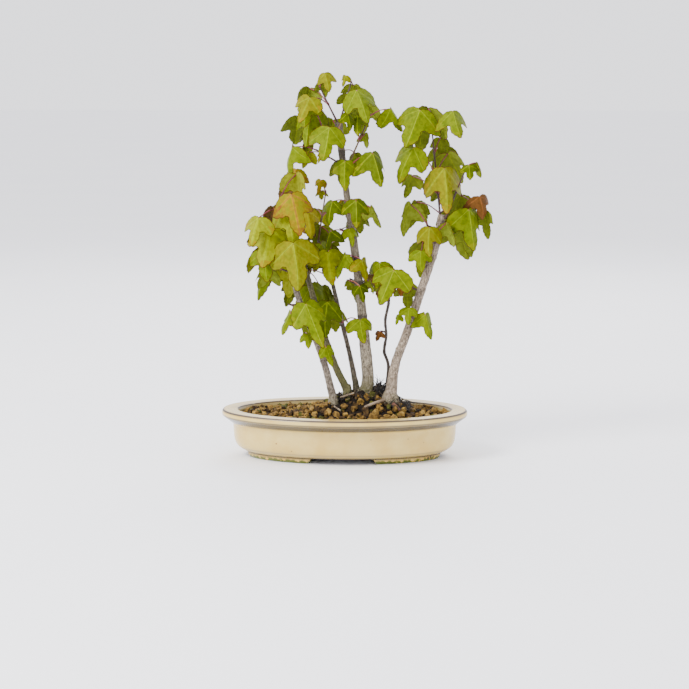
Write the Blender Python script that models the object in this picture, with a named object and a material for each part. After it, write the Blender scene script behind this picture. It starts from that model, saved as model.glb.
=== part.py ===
"""Trident maple clump in an oval glazed pot: five trunks, a dry twig and its leaf sprays.

Metres, +Z up. The feet of the pot stand on z = 0 and the whole plant is centred over the
origin. Sizes in the tables are millimetres, in the pot's own frame, and mm() converts them.
"""
import math
import random
from dataclasses import dataclass

import bmesh
import bpy
import numpy as np
from mathutils import Matrix, Vector

OBJECT_NAME = "trident_maple_clump"
CLEARANCE = 0.3

# Pot, millimetres: half length and half width over the lip, then insets and heights of the section
POT_HALF_LENGTH = 110.0
POT_HALF_WIDTH = 68.0
POT_HEIGHT = 42.4
POT_SEGMENTS = 40
LIP_FACE = 12.4
FOOT_HEIGHT = 4.6
FOOT_INSET = 21.5
FOOT_TAPER = 2.0
FOOT_THICKNESS = 8.5
FOOT_FROM_DEG = 15.0
FOOT_TO_DEG = 69.5
FOOT_SLANT_DEG = 2.2
FOOT_STEPS = 7
FLOOR_TOP = 9.6
POT_OUTSIDE = (
    (1.5, POT_HEIGHT), (0.35, 41.0), (0.0, 38.8), (0.7, 36.8), (2.6, 35.3), (8.7, 30.6),
    (10.0, 29.0), (10.3, 22.4), (11.3, 14.7), (14.4, 9.1), (21.6, FOOT_HEIGHT),
)
POT_INSIDE = ((1.5 + LIP_FACE, 42.0), (15.4, 38.0), (17.2, 16.0), (22.0, FLOOR_TOP))
SMOOTH_DEG = 40.0

# Soil, millimetres: level at the pot's wall, and the mound that the clump stands on
SOIL_EDGE = 38.6
SOIL_EDGE_DROP = 0.8
SOIL_BEND_LIFT = 0.4
SOIL_RINGS = (1.0, 0.89, 0.77, 0.65, 0.53, 0.40, 0.27, 0.15)
SOIL_SEGMENTS = 36
SOIL_LUMP = 1.8
LUMP_CLEAR = 9.0
MOUND_CENTRE = (16.0, -1.0)
MOUND_RISE = 19.5
MOUND_SPREAD = (47.0, 30.0)
ROOT_KNOT_CENTRE = (30.0, 3.0)
ROOT_KNOT_SIZE = (6.0, 8.0)
ROOT_KNOT_LOW = 46.0
ROOT_KNOT_TOP = 66.0
ROOT_KNOT_ROUGH = 0.86
SOCKET_HEIGHT = 30.0
SOCKET_SIDES = 16
SOCKET_FLARE = 1.1

# Limbs: steps of the smooth centre line to each span, and the upright collar at the foot
LIMB_STEPS = 2
LIMB_SMOOTH_DEG = 50.0
COLLAR_HEIGHT = 1.5
COLLAR_TAPER = 0.93
COLLAR_SPACE = 1.0

# Leaves: outline of the right half and points on the midrib, in lengths of the blade
HALF_OUTLINE = ((0.26, -0.05), (0.53, 0.33), (0.21, 0.46), (0.19, 0.72))
MIDRIB = (0.0, 0.30, 0.62, 1.0)
BLADE_THICKNESS = 0.62
PETIOLE_RADIUS = 0.55
PETIOLE_TIP_RADIUS = 0.26
PETIOLE_STEPS = 2
PETIOLE_ARCH = 0.40
SHOOT_RADIUS = 0.85
SHOOT_FOOT = 1.25
SHOOT_TAPER = 0.45
SHOOT_STEPS = 2
SHOOT_SPACE = 0.35
TIP_OFFSET = 0.45
HANG_DEG = 66.0
HANG_RANGE = (-11.0, 9.0)
BEARING_RANGE = 4.0
SWING_RANGE = 14.0
SPREAD_RANGE = (0.62, 0.94)
LARGE_BLADE = 30.0
SPREAD_LOSS = 0.007
FOLD_RANGE = (0.25, 0.75)
CURL_RANGE = (0.0, 0.22)
FACE_SIDEWAYS = 0.55
FACE_OUTWARD = 0.45
FACE_UP = 0.30
BLADE_INSET = 0.02
PETIOLE_INSET = 0.07

# Room for a new leaf: balls on its midrib and to each side, and the turns tried to find room
LEAF_TRIES = 12
TRY_LIMIT = 4
TRY_BEARING = 9.0
TRY_RISE = 6.0
BLADE_BALL = 0.07
STEM_BALL = 0.5
LIMB_BALL = 0.4
RIB_BALLS = (0.08, 0.3, 0.52, 0.74, 0.95)
SIDE_BALLS = (
    (0.24, 0.02), (0.12, 0.16), (0.26, 0.17), (0.40, 0.20), (0.48, 0.32), (0.33, 0.34),
    (0.19, 0.32), (0.14, 0.47), (0.15, 0.62), (0.12, 0.78),
)


@dataclass(frozen=True)
class Limb:
    """A trunk or twig: the points (x, y, z, radius) that its centre line runs through."""

    name: str
    sides: int
    points: tuple


@dataclass(frozen=True)
class Spray:
    """A shoot with opposite leaves, each (bearing, rise, petiole, blade), from the foot up."""

    name: str
    limb: str
    height: float
    heading: float
    rise: float
    length: float
    leaves: tuple


TIP = 999.0
LIMBS = (
    Limb("trunk_main", 12, (
        (19.2, 0, 54.0, 7.0), (19.8, 0, 60, 6.0), (21, 0, 72, 5.3), (18.3, 0, 100, 5.0),
        (13.8, 0, 146, 3.9), (7, 2, 199, 3.6), (2.6, 3, 227.5, 2.9), (-1.7, 4, 261.6, 3.0),
        (-5.6, 5, 297.5, 3.5))),
    Limb("trunk_left_front", 10, (
        (-9.4, -14, 51.0, 4.6), (-9.9, -14, 56, 3.6), (-17.6, -16, 87, 2.9), (-29.6, -20, 120, 2.8),
        (-40.6, -24, 149, 2.5), (-45.9, -26, 180, 2.2), (-54.6, -27, 201, 1.4))),
    Limb("trunk_left_back", 10, (
        (3.0, 0, 54.5, 4.7), (1.4, 0, 61, 3.6), (-8.1, 2, 80, 3.1), (-17.9, 5, 106, 3.0),
        (-25.4, 10, 130, 2.6), (-38.1, 17, 174, 2.2), (-42.8, 20, 187, 1.6))),
    Limb("trunk_middle", 10, (
        (10.6, 12, 53.4, 3.9), (9.9, 12, 60, 3.0), (4.1, 14, 89, 2.1), (-4.4, 18, 122, 2.0),
        (-14, 23, 160, 1.7), (-25.3, 28, 191, 1.3))),
    Limb("trunk_right", 12, (
        (41.0, -8, 51.0, 7.0), (41.8, -8, 57, 5.5), (45.6, -6, 84, 4.1), (56.5, -3, 114, 3.9),
        (68.4, 1, 150, 3.8), (82.3, 6, 194, 3.5), (85.6, 8, 216, 3.0))),
    Limb("dry_twig", 6, (
        (36.2, 9, 51.6, 1.9), (36.9, 9, 58, 1.5), (38.9, 9, 80, 1.4), (35.2, 9, 93, 1.4),
        (36.9, 9, 107, 1.3), (36.1, 9, 122, 1.3), (39.2, 9, 139, 1.3), (37.1, 9, 158.8, 1.1))),
)

# Roots that show on the soil: (x, y, lift over the soil, radius) along each
ROOTS = (
    Limb("root_front", 6, ((36.0, -16.5, 3.6, 1.5), (28.0, -21, 2.6, 1.5), (19.0, -25.5, 1.8, 1.1))),
    Limb("root_right", 6, ((44.0, -17.5, 3.4, 1.8), (50.0, -23, 2.2, 1.2))),
    Limb("root_left", 6, ((-8.0, -21.0, 1.8, 0.8), (-2.0, -28, 1.6, 0.7))),
    Limb("root_middle", 6, ((-3.0, -11.5, 1.9, 0.9), (9.0, -9.5, 1.8, 0.8))),
)

SPRAYS = (
    Spray("leaves_top_left", "trunk_main", TIP, 165, 62, 34, (
        (-124, 13, 26, 25), (131, 25, 32, 24), (-61, 49, 16, 18), (49, 53, 6, 15))),
    Spray("leaves_top_right", "trunk_main", TIP, 30, 72, 36, (
        (-59, 24, 26, 32), (89, 16, 24, 17), (-152, 47, 8, 10), (80, -17, 9, 17))),
    Spray("leaves_crest_left", "trunk_main", 288, 180, 15, 22, (
        (-137, 55, 30, 23), (138, 6, 14, 29), (-104, 80, 16, 36), (122, 22, 21, 28))),
    Spray("leaves_crest_right", "trunk_main", 259, 20, 65, 49, (
        (-102, 75, 23, 19), (1, 49, 8, 13), (3, 18, 19, 23), (117, 50, 13, 28))),
    Spray("leaves_upper_front", "trunk_main", 278, 230, 25, 6, (
        (-100, 42, 19, 31), (-17, 63, 28, 16))),
    Spray("leaves_upper_left", "trunk_main", 262, 185, 30, 22, (
        (-139, 23, 7, 9), (152, 11, 19, 16), (-178, 6, 22, 28))),
    Spray("leaves_upper_back", "trunk_main", 270, 80, 25, 6, (
        (128, 57, 31, 26), (59, -11, 18, 17))),
    Spray("leaves_middle_front", "trunk_main", 252, -80, 30, 6, (
        (-89, 40, 14, 26), (-44, 27, 37, 32))),
    Spray("leaves_middle_back", "trunk_main", 240, 90, 25, 6, (
        (121, 62, 23, 16), (103, 41, 30, 24))),
    Spray("leaves_node_front", "trunk_main", 226, -70, 20, 6, (
        (-137, 6, 21, 21), (-74, 8, 21, 24), (1, -15, 18, 21))),
    Spray("leaves_node_back", "trunk_main", 214, 80, 20, 6, (
        (79, -6, 26, 19), (106, 54, 15, 22))),
    Spray("leaves_node_left", "trunk_main", 200, 200, 30, 7, (
        (-158, 2, 13, 19), (-55, 14, 9, 17), (65, -3, 16, 14))),
    Spray("leaves_node_low", "trunk_main", 178, -100, 25, 5, (
        (-180, 12, 7, 23), (-4, -25, 8, 20))),
    Spray("leaves_node_foot", "trunk_main", 156, 190, 25, 5, (
        (-49, -15, 15, 15), (67, -10, 16, 20))),
    Spray("leaves_outer_mid", "trunk_left_front", 168, 230, 15, 9, (
        (92, 12, 20, 31), (-72, 50, 34, 43), (148, 1, 18, 20))),
    Spray("leaves_centre_mid", "trunk_middle", 186, 20, 20, 12, (
        (-99, -14, 27, 31), (134, 36, 21, 30))),
    Spray("leaves_outer_top", "trunk_left_front", TIP, 95, 78, 32, (
        (123, 46, 16, 24), (-57, 53, 16, 39), (-127, -11, 29, 26), (-56, 32, 27, 37),
        (41, 49, 26, 30), (72, 20, 22, 22))),
    Spray("leaves_outer_side", "trunk_left_front", 186, 190, 10, 16, (
        (-115, 58, 22, 35), (100, 38, 36, 41), (106, 0, 11, 35), (-96, -29, 5, 27))),
    Spray("leaves_outer_low", "trunk_left_front", 136, 200, 20, 9, (
        (-51, 10, 18, 43), (-181, -63, 7, 22), (62, -18, 26, 30))),
    Spray("leaves_outer_foot", "trunk_left_front", 112, 215, 20, 5, (
        (-77, 1, 9, 13), (-30, -26, 25, 18))),
    Spray("leaves_inner_top", "trunk_left_back", TIP, 85, 76, 44, (
        (-40, 44, 14, 26), (121, 41, 18, 43), (-115, 73, 26, 22), (119, -17, 25, 42))),
    Spray("leaves_inner_mid", "trunk_left_back", 172, 10, 25, 9, (
        (-132, 47, 25, 42), (-7, 59, 17, 31), (109, 19, 22, 25))),
    Spray("leaves_inner_back", "trunk_left_back", 162, 95, 20, 16, (
        (55, -43, 26, 33), (186, 19, 32, 41), (155, 15, 36, 30), (139, -37, 23, 26))),
    Spray("leaves_inner_low", "trunk_left_back", 140, 120, 25, 9, (
        (-17, 68, 8, 36), (125, 21, 11, 22))),
    Spray("leaves_inner_foot", "trunk_left_back", 118, -20, 25, 5, (
        (-90, 48, 26, 34), (84, 11, 33, 22))),
    Spray("leaves_centre_top", "trunk_middle", TIP, 60, 74, 44, (
        (-24, 35, 26, 10), (116, 19, 16, 24), (-146, 66, 12, 13), (112, 4, 11, 9))),
    Spray("leaves_centre_back", "trunk_middle", 156, 110, 25, 12, (
        (88, 51, 33, 16), (173, 10, 28, 26), (102, 47, 17, 21))),
    Spray("leaves_centre_low", "trunk_middle", 117, -90, 20, 5, (
        (-59, 10, 34, 21), (138, 32, 38, 25))),
    Spray("leaves_crest", "trunk_right", TIP, 165, 84, 90, (
        (-76, 52, 30, 42), (146, 29, 32, 22), (-139, 43, 35, 34), (30, 57, 21, 31),
        (63, 51, 17, 17), (76, 8, 33, 24), (-124, 49, 27, 36), (-55, 33, 36, 26),
        (107, 27, 8, 40))),
    Spray("leaves_crest_side", "trunk_right", 208, 5, 25, 30, (
        (-41, 30, 18, 37), (42, -40, 14, 26), (-22, 49, 21, 20), (22, 2, 18, 24),
        (117, 24, 27, 33))),
    Spray("leaves_right_left", "trunk_right", 204, 200, 20, 8, (
        (-189, 50, 24, 29), (99, 26, 21, 9))),
    Spray("leaves_crest_back", "trunk_right", 211, 95, 40, 18, (
        (63, 1, 31, 38), (168, 24, 24, 25), (73, 48, 28, 26))),
    Spray("leaves_right_front", "trunk_right", 192, -110, 20, 6, (
        (-108, 52, 15, 27), (19, 51, 19, 22))),
    Spray("leaves_right_back", "trunk_right", 186, 80, 25, 6, (
        (50, 35, 34, 37), (120, 0, 24, 32))),
    Spray("leaves_right_inner", "trunk_right", 178, 190, 20, 6, (
        (-91, 31, 9, 19), (88, 36, 18, 27))),
    Spray("leaves_right_low", "trunk_right", 150, 190, 25, 8, (
        (-125, 34, 28, 33), (92, 1, 14, 23))),
    Spray("leaves_right_foot", "trunk_right", 126, -95, 20, 5, (
        (-103, 39, 14, 15), (-35, 11, 15, 23), (-158, 5, 12, 9))),
    Spray("leaves_twig_top", "dry_twig", TIP, 90, 60, 5, (
        (-114, 40, 19, 23), (-52, 17, 19, 23), (96, -65, 8, 24), (102, -1, 21, 32))),
)

COLOURS = {
    "glaze": ((0.74, 0.66, 0.46), 0.28),
    "soil": ((0.21, 0.12, 0.05), 0.95),
    "bark": ((0.36, 0.31, 0.26), 0.85),
    "twig": ((0.20, 0.13, 0.08), 0.85),
    "root": ((0.33, 0.22, 0.14), 0.90),
    "leaf": ((0.38, 0.45, 0.04), 0.55),
}


def mm(*values):
    """Vector in metres from millimetres."""
    return Vector(values) * 0.001


def clear_scene():
    """Remove the objects that the open file starts with."""
    for item in list(bpy.data.objects):
        bpy.data.objects.remove(item, do_unlink=True)


def material(name):
    """Principled material with the colour and roughness named in COLOURS."""
    colour, roughness = COLOURS[name]
    made = bpy.data.materials.get(name)
    if made is None:
        made = bpy.data.materials.new(name)
        made.use_nodes = True
        shader = made.node_tree.nodes["Principled BSDF"]
        shader.inputs["Base Color"].default_value = (*colour, 1.0)
        shader.inputs["Roughness"].default_value = roughness
    return made


def put(collection, name, mesh, finish):
    """Object of that mesh, in the collection, with its material."""
    item = bpy.data.objects.new(name, mesh)
    collection.objects.link(item)
    mesh.materials.clear()
    mesh.materials.append(material(finish))
    return item


def new_collection(name):
    """Collection under the scene's own."""
    made = bpy.data.collections.new(name)
    bpy.context.scene.collection.children.link(made)
    return made


def mesh_from(bm, name):
    """Mesh of a bmesh, whose faces are turned outwards first."""
    bmesh.ops.recalc_face_normals(bm, faces=bm.faces)
    mesh = bpy.data.meshes.new(name)
    bm.to_mesh(mesh)
    bm.free()
    return mesh


def boolean(item, operation, solver, other=None, collection=None):
    """Apply one Boolean modifier to an object."""
    modifier = item.modifiers.new("join", "BOOLEAN")
    modifier.operation = operation
    modifier.solver = solver
    if collection is None:
        modifier.object = other
    else:
        modifier.operand_type = "COLLECTION"
        modifier.collection = collection
    graph = bpy.context.evaluated_depsgraph_get()
    mesh = bpy.data.meshes.new_from_object(item.evaluated_get(graph))
    item.modifiers.clear()
    item.data = mesh


def drop_collection(collection):
    """Remove a working collection and its objects."""
    for item in list(collection.objects):
        bpy.data.objects.remove(item, do_unlink=True)
    bpy.data.collections.remove(collection)


def heading_vector(bearing, rise=0.0):
    """Unit vector at a bearing from +X and a rise over the level, in degrees."""
    turn = math.radians(bearing)
    lift = math.radians(rise)
    flat = math.cos(lift)
    return Vector((flat * math.cos(turn), flat * math.sin(turn), math.sin(lift)))


def catmull_rom(points, steps):
    """Points on the smooth curve through the given ones, a number of steps to each span."""
    rows = [Vector(point) for point in points]
    rows = [rows[0] * 2 - rows[1], *rows, rows[-1] * 2 - rows[-2]]
    curve = []
    for a, b, c, d in zip(rows, rows[1:], rows[2:], rows[3:]):
        for step in range(steps):
            t = step / steps
            curve.append(0.5 * (b * 2 + (c - a) * t + (a * 2 - b * 5 + c * 4 - d) * t ** 2
                                + (b * 3 - a - c * 3 + d) * t ** 3))
    curve.append(rows[-2])
    return curve


def tube(name, path, sides):
    """Closed tube along (x, y, z, radius) points in millimetres; its first ring lies level."""
    curve = bpy.data.curves.new(name, "CURVE")
    curve.dimensions = "3D"
    curve.bevel_mode = "ROUND"
    curve.bevel_depth = 0.001
    curve.bevel_resolution = max(0, sides // 2 - 2)
    curve.use_fill_caps = True
    spline = curve.splines.new("POLY")
    spline.points.add(len(path) - 1)
    for point, row in zip(spline.points, path):
        point.co = (*mm(*row[:3]), 1.0)
        point.radius = row[3]
    holder = bpy.data.objects.new(name, curve)
    bpy.context.scene.collection.objects.link(holder)
    graph = bpy.context.evaluated_depsgraph_get()
    mesh = bpy.data.meshes.new_from_object(holder.evaluated_get(graph))
    bpy.data.objects.remove(holder, do_unlink=True)
    bm = bmesh.new()
    bm.from_mesh(mesh)
    bmesh.ops.remove_doubles(bm, verts=bm.verts, dist=0.00001)
    bm.to_mesh(mesh)
    bm.free()
    return mesh


def oval_ring(bm, inset, height, count):
    """Ring of vertices on the pot's oval, set in by an inset, at a height."""
    ring = []
    for step in range(count):
        turn = math.tau * step / count
        x = (POT_HALF_LENGTH - inset) * math.cos(turn)
        y = (POT_HALF_WIDTH - inset) * math.sin(turn)
        ring.append(bm.verts.new(mm(x, y, height)))
    return ring


def bridge(bm, rings, closed):
    """Quads between rings of equal count; a closed loft joins the last ring to the first."""
    pairs = list(zip(rings, rings[1:]))
    if closed:
        pairs.append((rings[-1], rings[0]))
    for low, high in pairs:
        for step in range(len(low)):
            after = (step + 1) % len(low)
            bm.faces.new((low[step], low[after], high[after], high[step]))


def pot_shell():
    """Oval dish: the lip, wall and belly outside, the wall and floor inside."""
    bm = bmesh.new()
    section = (*reversed(POT_OUTSIDE), *POT_INSIDE)
    rings = [oval_ring(bm, inset, height, POT_SEGMENTS) for inset, height in section]
    bridge(bm, rings, closed=False)
    bm.faces.new(rings[0])
    bm.faces.new(rings[-1])
    return mesh_from(bm, "pot")


def foot_mesh(side_x, side_y):
    """One foot: a quarter of the oval foot ring, with slanted ends."""
    bm = bmesh.new()
    rings = []
    top = FOOT_HEIGHT - CLEARANCE
    for step in range(FOOT_STEPS + 1):
        ring = []
        for inset, height in ((0, top), (FOOT_TAPER, 0), (FOOT_THICKNESS - FOOT_TAPER, 0),
                              (FOOT_THICKNESS, top)):
            slant = FOOT_SLANT_DEG if height else 0.0
            first = FOOT_FROM_DEG - slant
            last = FOOT_TO_DEG + slant
            turn = math.radians(first + (last - first) * step / FOOT_STEPS)
            x = (POT_HALF_LENGTH - FOOT_INSET - inset) * math.cos(turn)
            y = (POT_HALF_WIDTH - FOOT_INSET - inset) * math.sin(turn)
            ring.append(bm.verts.new(mm(side_x * x, side_y * y, height)))
        rings.append(ring)
    bridge(bm, rings, closed=False)
    bm.faces.new(rings[0])
    bm.faces.new(rings[-1])
    return mesh_from(bm, "foot")


def make_pot(parts):
    """Pot, and the four feet that it stands on."""
    smooth(put(parts, "pot", pot_shell(), "glaze"))
    for end, side_x in (("left", -1), ("right", 1)):
        for face, side_y in (("front", -1), ("back", 1)):
            mesh = foot_mesh(side_x, side_y)
            smooth(put(parts, f"pot_foot_{face}_{end}", mesh, "glaze"))


def smooth(item, angle=SMOOTH_DEG):
    """Shade an object smooth, with its sharp edges kept."""
    item.data.shade_smooth()
    item.data.set_sharp_from_angle(angle=math.radians(angle))


def soil_height(x, y):
    """Height of the soil at a place: level at the wall, mounded under the clump."""
    east = (x - MOUND_CENTRE[0]) / MOUND_SPREAD[0]
    north = (y - MOUND_CENTRE[1]) / MOUND_SPREAD[1]
    return SOIL_EDGE + MOUND_RISE * math.exp(-1.5 * (east ** 2 + north ** 2) ** 1.1)


def soil_lump(x, y, source):
    """Rise or fall of a lump of granules, which fades out near the limbs and roots."""
    feet = [limb.points[0][:2] for limb in LIMBS]
    feet.append(ROOT_KNOT_CENTRE)
    feet.extend(point[:2] for root in ROOTS for point in root.points)
    room = min(math.dist((x, y), foot) for foot in feet)
    share = min(1.0, max(0.0, room / LUMP_CLEAR - 1.0))
    return source.uniform(-1.0, 1.0) * SOIL_LUMP * share


def make_soil(parts):
    """Soil that fills the pot, with a socket under the foot of each limb."""
    source = random.Random("soil")
    bm = bmesh.new()
    wall = POT_INSIDE[1][0] + CLEARANCE
    low_wall = POT_INSIDE[3][0] + 2.0 * CLEARANCE
    rings = [oval_ring(bm, low_wall, FLOOR_TOP + CLEARANCE, SOIL_SEGMENTS)]
    bend, bend_height = POT_INSIDE[2]
    rings.append(oval_ring(bm, bend + CLEARANCE, bend_height + SOIL_BEND_LIFT, SOIL_SEGMENTS))
    for share in SOIL_RINGS:
        ring = []
        for step in range(SOIL_SEGMENTS):
            turn = math.tau * step / SOIL_SEGMENTS
            x = MOUND_CENTRE[0] * (1 - share) + (POT_HALF_LENGTH - wall) * share * math.cos(turn)
            y = MOUND_CENTRE[1] * (1 - share) + (POT_HALF_WIDTH - wall) * share * math.sin(turn)
            height = soil_height(x, y) + soil_lump(x, y, source)
            if share == 1.0:
                height = SOIL_EDGE - SOIL_EDGE_DROP
            ring.append(bm.verts.new(mm(x, y, height)))
        rings.append(ring)
    bridge(bm, rings, closed=False)
    bm.faces.new(rings[0])
    peak = bm.verts.new(mm(*MOUND_CENTRE, soil_height(*MOUND_CENTRE)))
    top = rings[-1]
    for step in range(SOIL_SEGMENTS):
        bm.faces.new((top[step], top[(step + 1) % SOIL_SEGMENTS], peak))
    soil = put(parts, "soil", mesh_from(bm, "soil"), "soil")
    knot = new_collection("knot")
    put(knot, "root_knot", root_knot(), "soil")
    boolean(soil, "UNION", "EXACT", collection=knot)
    drop_collection(knot)
    sockets = new_collection("sockets")
    for limb in LIMBS:
        sockets.objects.link(socket_cutter(limb))
    boolean(soil, "DIFFERENCE", "EXACT", collection=sockets)
    drop_collection(sockets)
    return soil


def root_knot():
    """Dark lump of matted roots that stands out of the mound between the two big trunks."""
    bm = bmesh.new()
    bmesh.ops.create_icosphere(bm, subdivisions=2, radius=1.0)
    source = random.Random("root_knot")
    half = (ROOT_KNOT_TOP - ROOT_KNOT_LOW) / 2
    centre = mm(*ROOT_KNOT_CENTRE, ROOT_KNOT_LOW + half)
    reach = Matrix.Diagonal(mm(*ROOT_KNOT_SIZE, half))
    for vertex in bm.verts:
        vertex.co = centre + reach @ vertex.co * source.uniform(ROOT_KNOT_ROUGH, 1.0)
    return mesh_from(bm, "root_knot")


def socket_cutter(limb):
    """Leaning cylinder that clears the soil round the foot of a limb, with a level floor."""
    foot, above = Vector(limb.points[0]), Vector(limb.points[1])
    lean = (above.xyz - foot.xyz) / (above.z - foot.z)
    radius = (foot.w + 2.0 * CLEARANCE) * 0.001
    bm = bmesh.new()
    made = bmesh.ops.create_cone(bm, cap_ends=True, segments=SOCKET_SIDES, radius1=radius,
                                 radius2=radius * SOCKET_FLARE, depth=SOCKET_HEIGHT * 0.001)
    for vertex in made["verts"]:
        rise = vertex.co.z * 1000.0 + SOCKET_HEIGHT / 2
        floor = foot.xyz + lean * rise
        vertex.co = mm(floor.x, floor.y, foot.z - CLEARANCE + rise) + Vector((*vertex.co.xy, 0.0))
    cutter = bpy.data.objects.new("socket", mesh_from(bm, "socket"))
    cutter.hide_render = True
    cutter.display_type = "WIRE"
    return cutter


def limb_path(limb):
    """Smooth path of a limb, which leaves the ground upright."""
    first = Vector(limb.points[0])
    collar = first + Vector((0.0, 0.0, COLLAR_HEIGHT, 0.0))
    collar.w = first.w * COLLAR_TAPER
    path = catmull_rom(limb.points, LIMB_STEPS)
    return [first, collar, *(point for point in path if point.z > collar.z + COLLAR_SPACE)]


def make_limbs(parts):
    """Trunks and the dry twig, each a tapering limb from its flat foot to its tip."""
    for limb in LIMBS:
        finish = "twig" if limb.name == "dry_twig" else "bark"
        mesh = tube(limb.name, limb_path(limb), limb.sides)
        smooth(put(parts, limb.name, mesh, finish), LIMB_SMOOTH_DEG)


def make_roots(parts):
    """Roots that lie on the soil round the feet of the trunks."""
    for root in ROOTS:
        rows = [(x, y, soil_height(x, y) + lift, radius) for x, y, lift, radius in root.points]
        mesh = tube(root.name, catmull_rom(rows, LIMB_STEPS), root.sides)
        smooth(put(parts, root.name, mesh, "root"), LIMB_SMOOTH_DEG)


def at_height(limb, height):
    """Point (x, y, z, radius) of a limb's centre line at a height."""
    path = limb_path(limb)
    for low, high in zip(path, path[1:]):
        if height <= high.z:
            return low.lerp(high, (height - low.z) / (high.z - low.z))
    return path[-1]


class Balls:
    """Balls that stand for what is already placed, so that a new leaf keeps clear of it."""

    def __init__(self):
        self.centres = np.full((1, 3), -1000.0)
        self.radii = np.zeros(1)
        self.owners = np.array([""], dtype=object)

    def add(self, points, owner):
        """Take in (x, y, z, radius) points that belong to an owner."""
        rows = np.array([tuple(point) for point in points])
        self.centres = np.vstack((self.centres, rows[:, :3]))
        self.radii = np.concatenate((self.radii, rows[:, 3]))
        self.owners = np.concatenate((self.owners, np.full(len(rows), owner, dtype=object)))

    def gap(self, points, owner=None):
        """Smallest gap between the given balls and those placed for anyone but their owner."""
        rows = np.array([tuple(point) for point in points])
        others = self.owners != owner
        apart = np.linalg.norm(rows[:, None, :3] - self.centres[None, others, :], axis=2)
        return float((apart - rows[:, None, 3] - self.radii[None, others]).min())


@dataclass(frozen=True)
class Leaf:
    """A placed leaf: its petiole's points and the frame and size of its blade."""

    petiole: tuple
    base: Vector
    along: Vector
    face: Vector
    blade: float
    spread: float
    fold: float
    curl: float

    def point(self, x, s, lift=0.0):
        """Place of an outline point: x across and s along the blade, in blade lengths."""
        across = self.face.cross(self.along)
        height = -self.fold * abs(x) - self.curl * s * s
        flat = across * (x * self.spread) + self.along * s + self.face * height
        return self.base + flat * self.blade + self.face * lift

    def balls(self):
        """Balls along the petiole and over the blade."""
        size = BLADE_BALL * self.blade
        rows = [(*point, PETIOLE_RADIUS + STEM_BALL) for point in self.petiole[1:]]
        rows.extend((*self.point(0.0, s), size) for s in RIB_BALLS)
        for side in (-1, 1):
            rows.extend((*self.point(side * x, s), size) for x, s in SIDE_BALLS)
        return rows


def shoot_path(spray, limb):
    """Centre line of a spray's shoot, from just outside its limb, with radii."""
    foot = at_height(limb, spray.height)
    run = heading_vector(spray.heading, spray.rise)
    side = heading_vector(spray.heading)
    if spray.height == TIP:
        lift = CLEARANCE + SHOOT_RADIUS * SHOOT_FOOT * math.hypot(run.x, run.y)
        start = foot.xyz + side * TIP_OFFSET * foot.w + Vector((0.0, 0.0, lift))
    else:
        clear = CLEARANCE + SHOOT_SPACE + SHOOT_RADIUS * abs(run.z)
        start = foot.xyz + side * (foot.w + clear)
    rows = []
    for step in range(SHOOT_STEPS + 1):
        t = step / SHOOT_STEPS
        radius = SHOOT_RADIUS * (SHOOT_FOOT - SHOOT_TAPER * t)
        rows.append((*(start + run * spray.length * t), radius))
    return rows


def place_leaf(spray, node, index, source, jitter):
    """One leaf of a spray, hung from a node of its shoot."""
    bearing, rise, petiole, blade = spray.leaves[index]
    bearing += source.uniform(-BEARING_RANGE, BEARING_RANGE)
    bearing += jitter * source.uniform(-TRY_BEARING, TRY_BEARING)
    rise += jitter * source.uniform(-TRY_RISE, TRY_RISE)
    run = heading_vector(bearing, rise)
    path = []
    for step in range(PETIOLE_STEPS + 1):
        t = step / PETIOLE_STEPS
        arch = Vector((0.0, 0.0, PETIOLE_ARCH * petiole * (t - t * t)))
        path.append(node + run * petiole * t + arch)
    hang = HANG_DEG + source.uniform(*HANG_RANGE)
    along = heading_vector(bearing + source.uniform(-SWING_RANGE, SWING_RANGE), -hang)
    outward = Vector((FACE_SIDEWAYS * run.x, run.y + math.copysign(FACE_OUTWARD, run.y), FACE_UP))
    outward.normalize()
    face = (outward - along * outward.dot(along)).normalized()
    spread = source.uniform(*SPREAD_RANGE) - SPREAD_LOSS * max(0.0, blade - LARGE_BLADE)
    fold = source.uniform(*FOLD_RANGE)
    curl = source.uniform(*CURL_RANGE)
    base = path[-1] - along * BLADE_INSET * blade
    return Leaf(tuple(path), base, along, face, blade, spread, fold, curl)


def grow(spray, shoot, placed):
    """Leaves of a spray; one that would touch what is placed is turned, and then skipped."""
    pairs = (len(spray.leaves) + 1) // 2
    leaves = []
    own = Balls()
    for index in sorted(range(len(spray.leaves)), key=lambda row: -spray.leaves[row][3]):
        share = (index // 2 + 1) / pairs
        node = Vector(shoot[0][:3]).lerp(Vector(shoot[-1][:3]), share - 0.5 / spray.length)
        for attempt in range(LEAF_TRIES):
            source = random.Random(f"{spray.name}{index}{attempt}")
            leaf = place_leaf(spray, node, index, source, min(attempt, TRY_LIMIT))
            balls = leaf.balls()
            if placed.gap(balls, spray.name) > CLEARANCE and own.gap(balls[2:]) > CLEARANCE:
                leaves.append(leaf)
                own.add(balls[2:], spray.name)
                break
    for leaf in leaves:
        placed.add(leaf.balls(), spray.name)
    return leaves


def fine_path(path, spacing=2.5):
    """Points along a path no further apart than the spacing."""
    rows = []
    for low, high in zip(path, path[1:]):
        low, high = Vector(low), Vector(high)
        count = max(1, math.ceil((high.xyz - low.xyz).length / spacing))
        rows.extend(low.lerp(high, step / count) for step in range(count))
    rows.append(Vector(path[-1]))
    return rows


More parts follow.
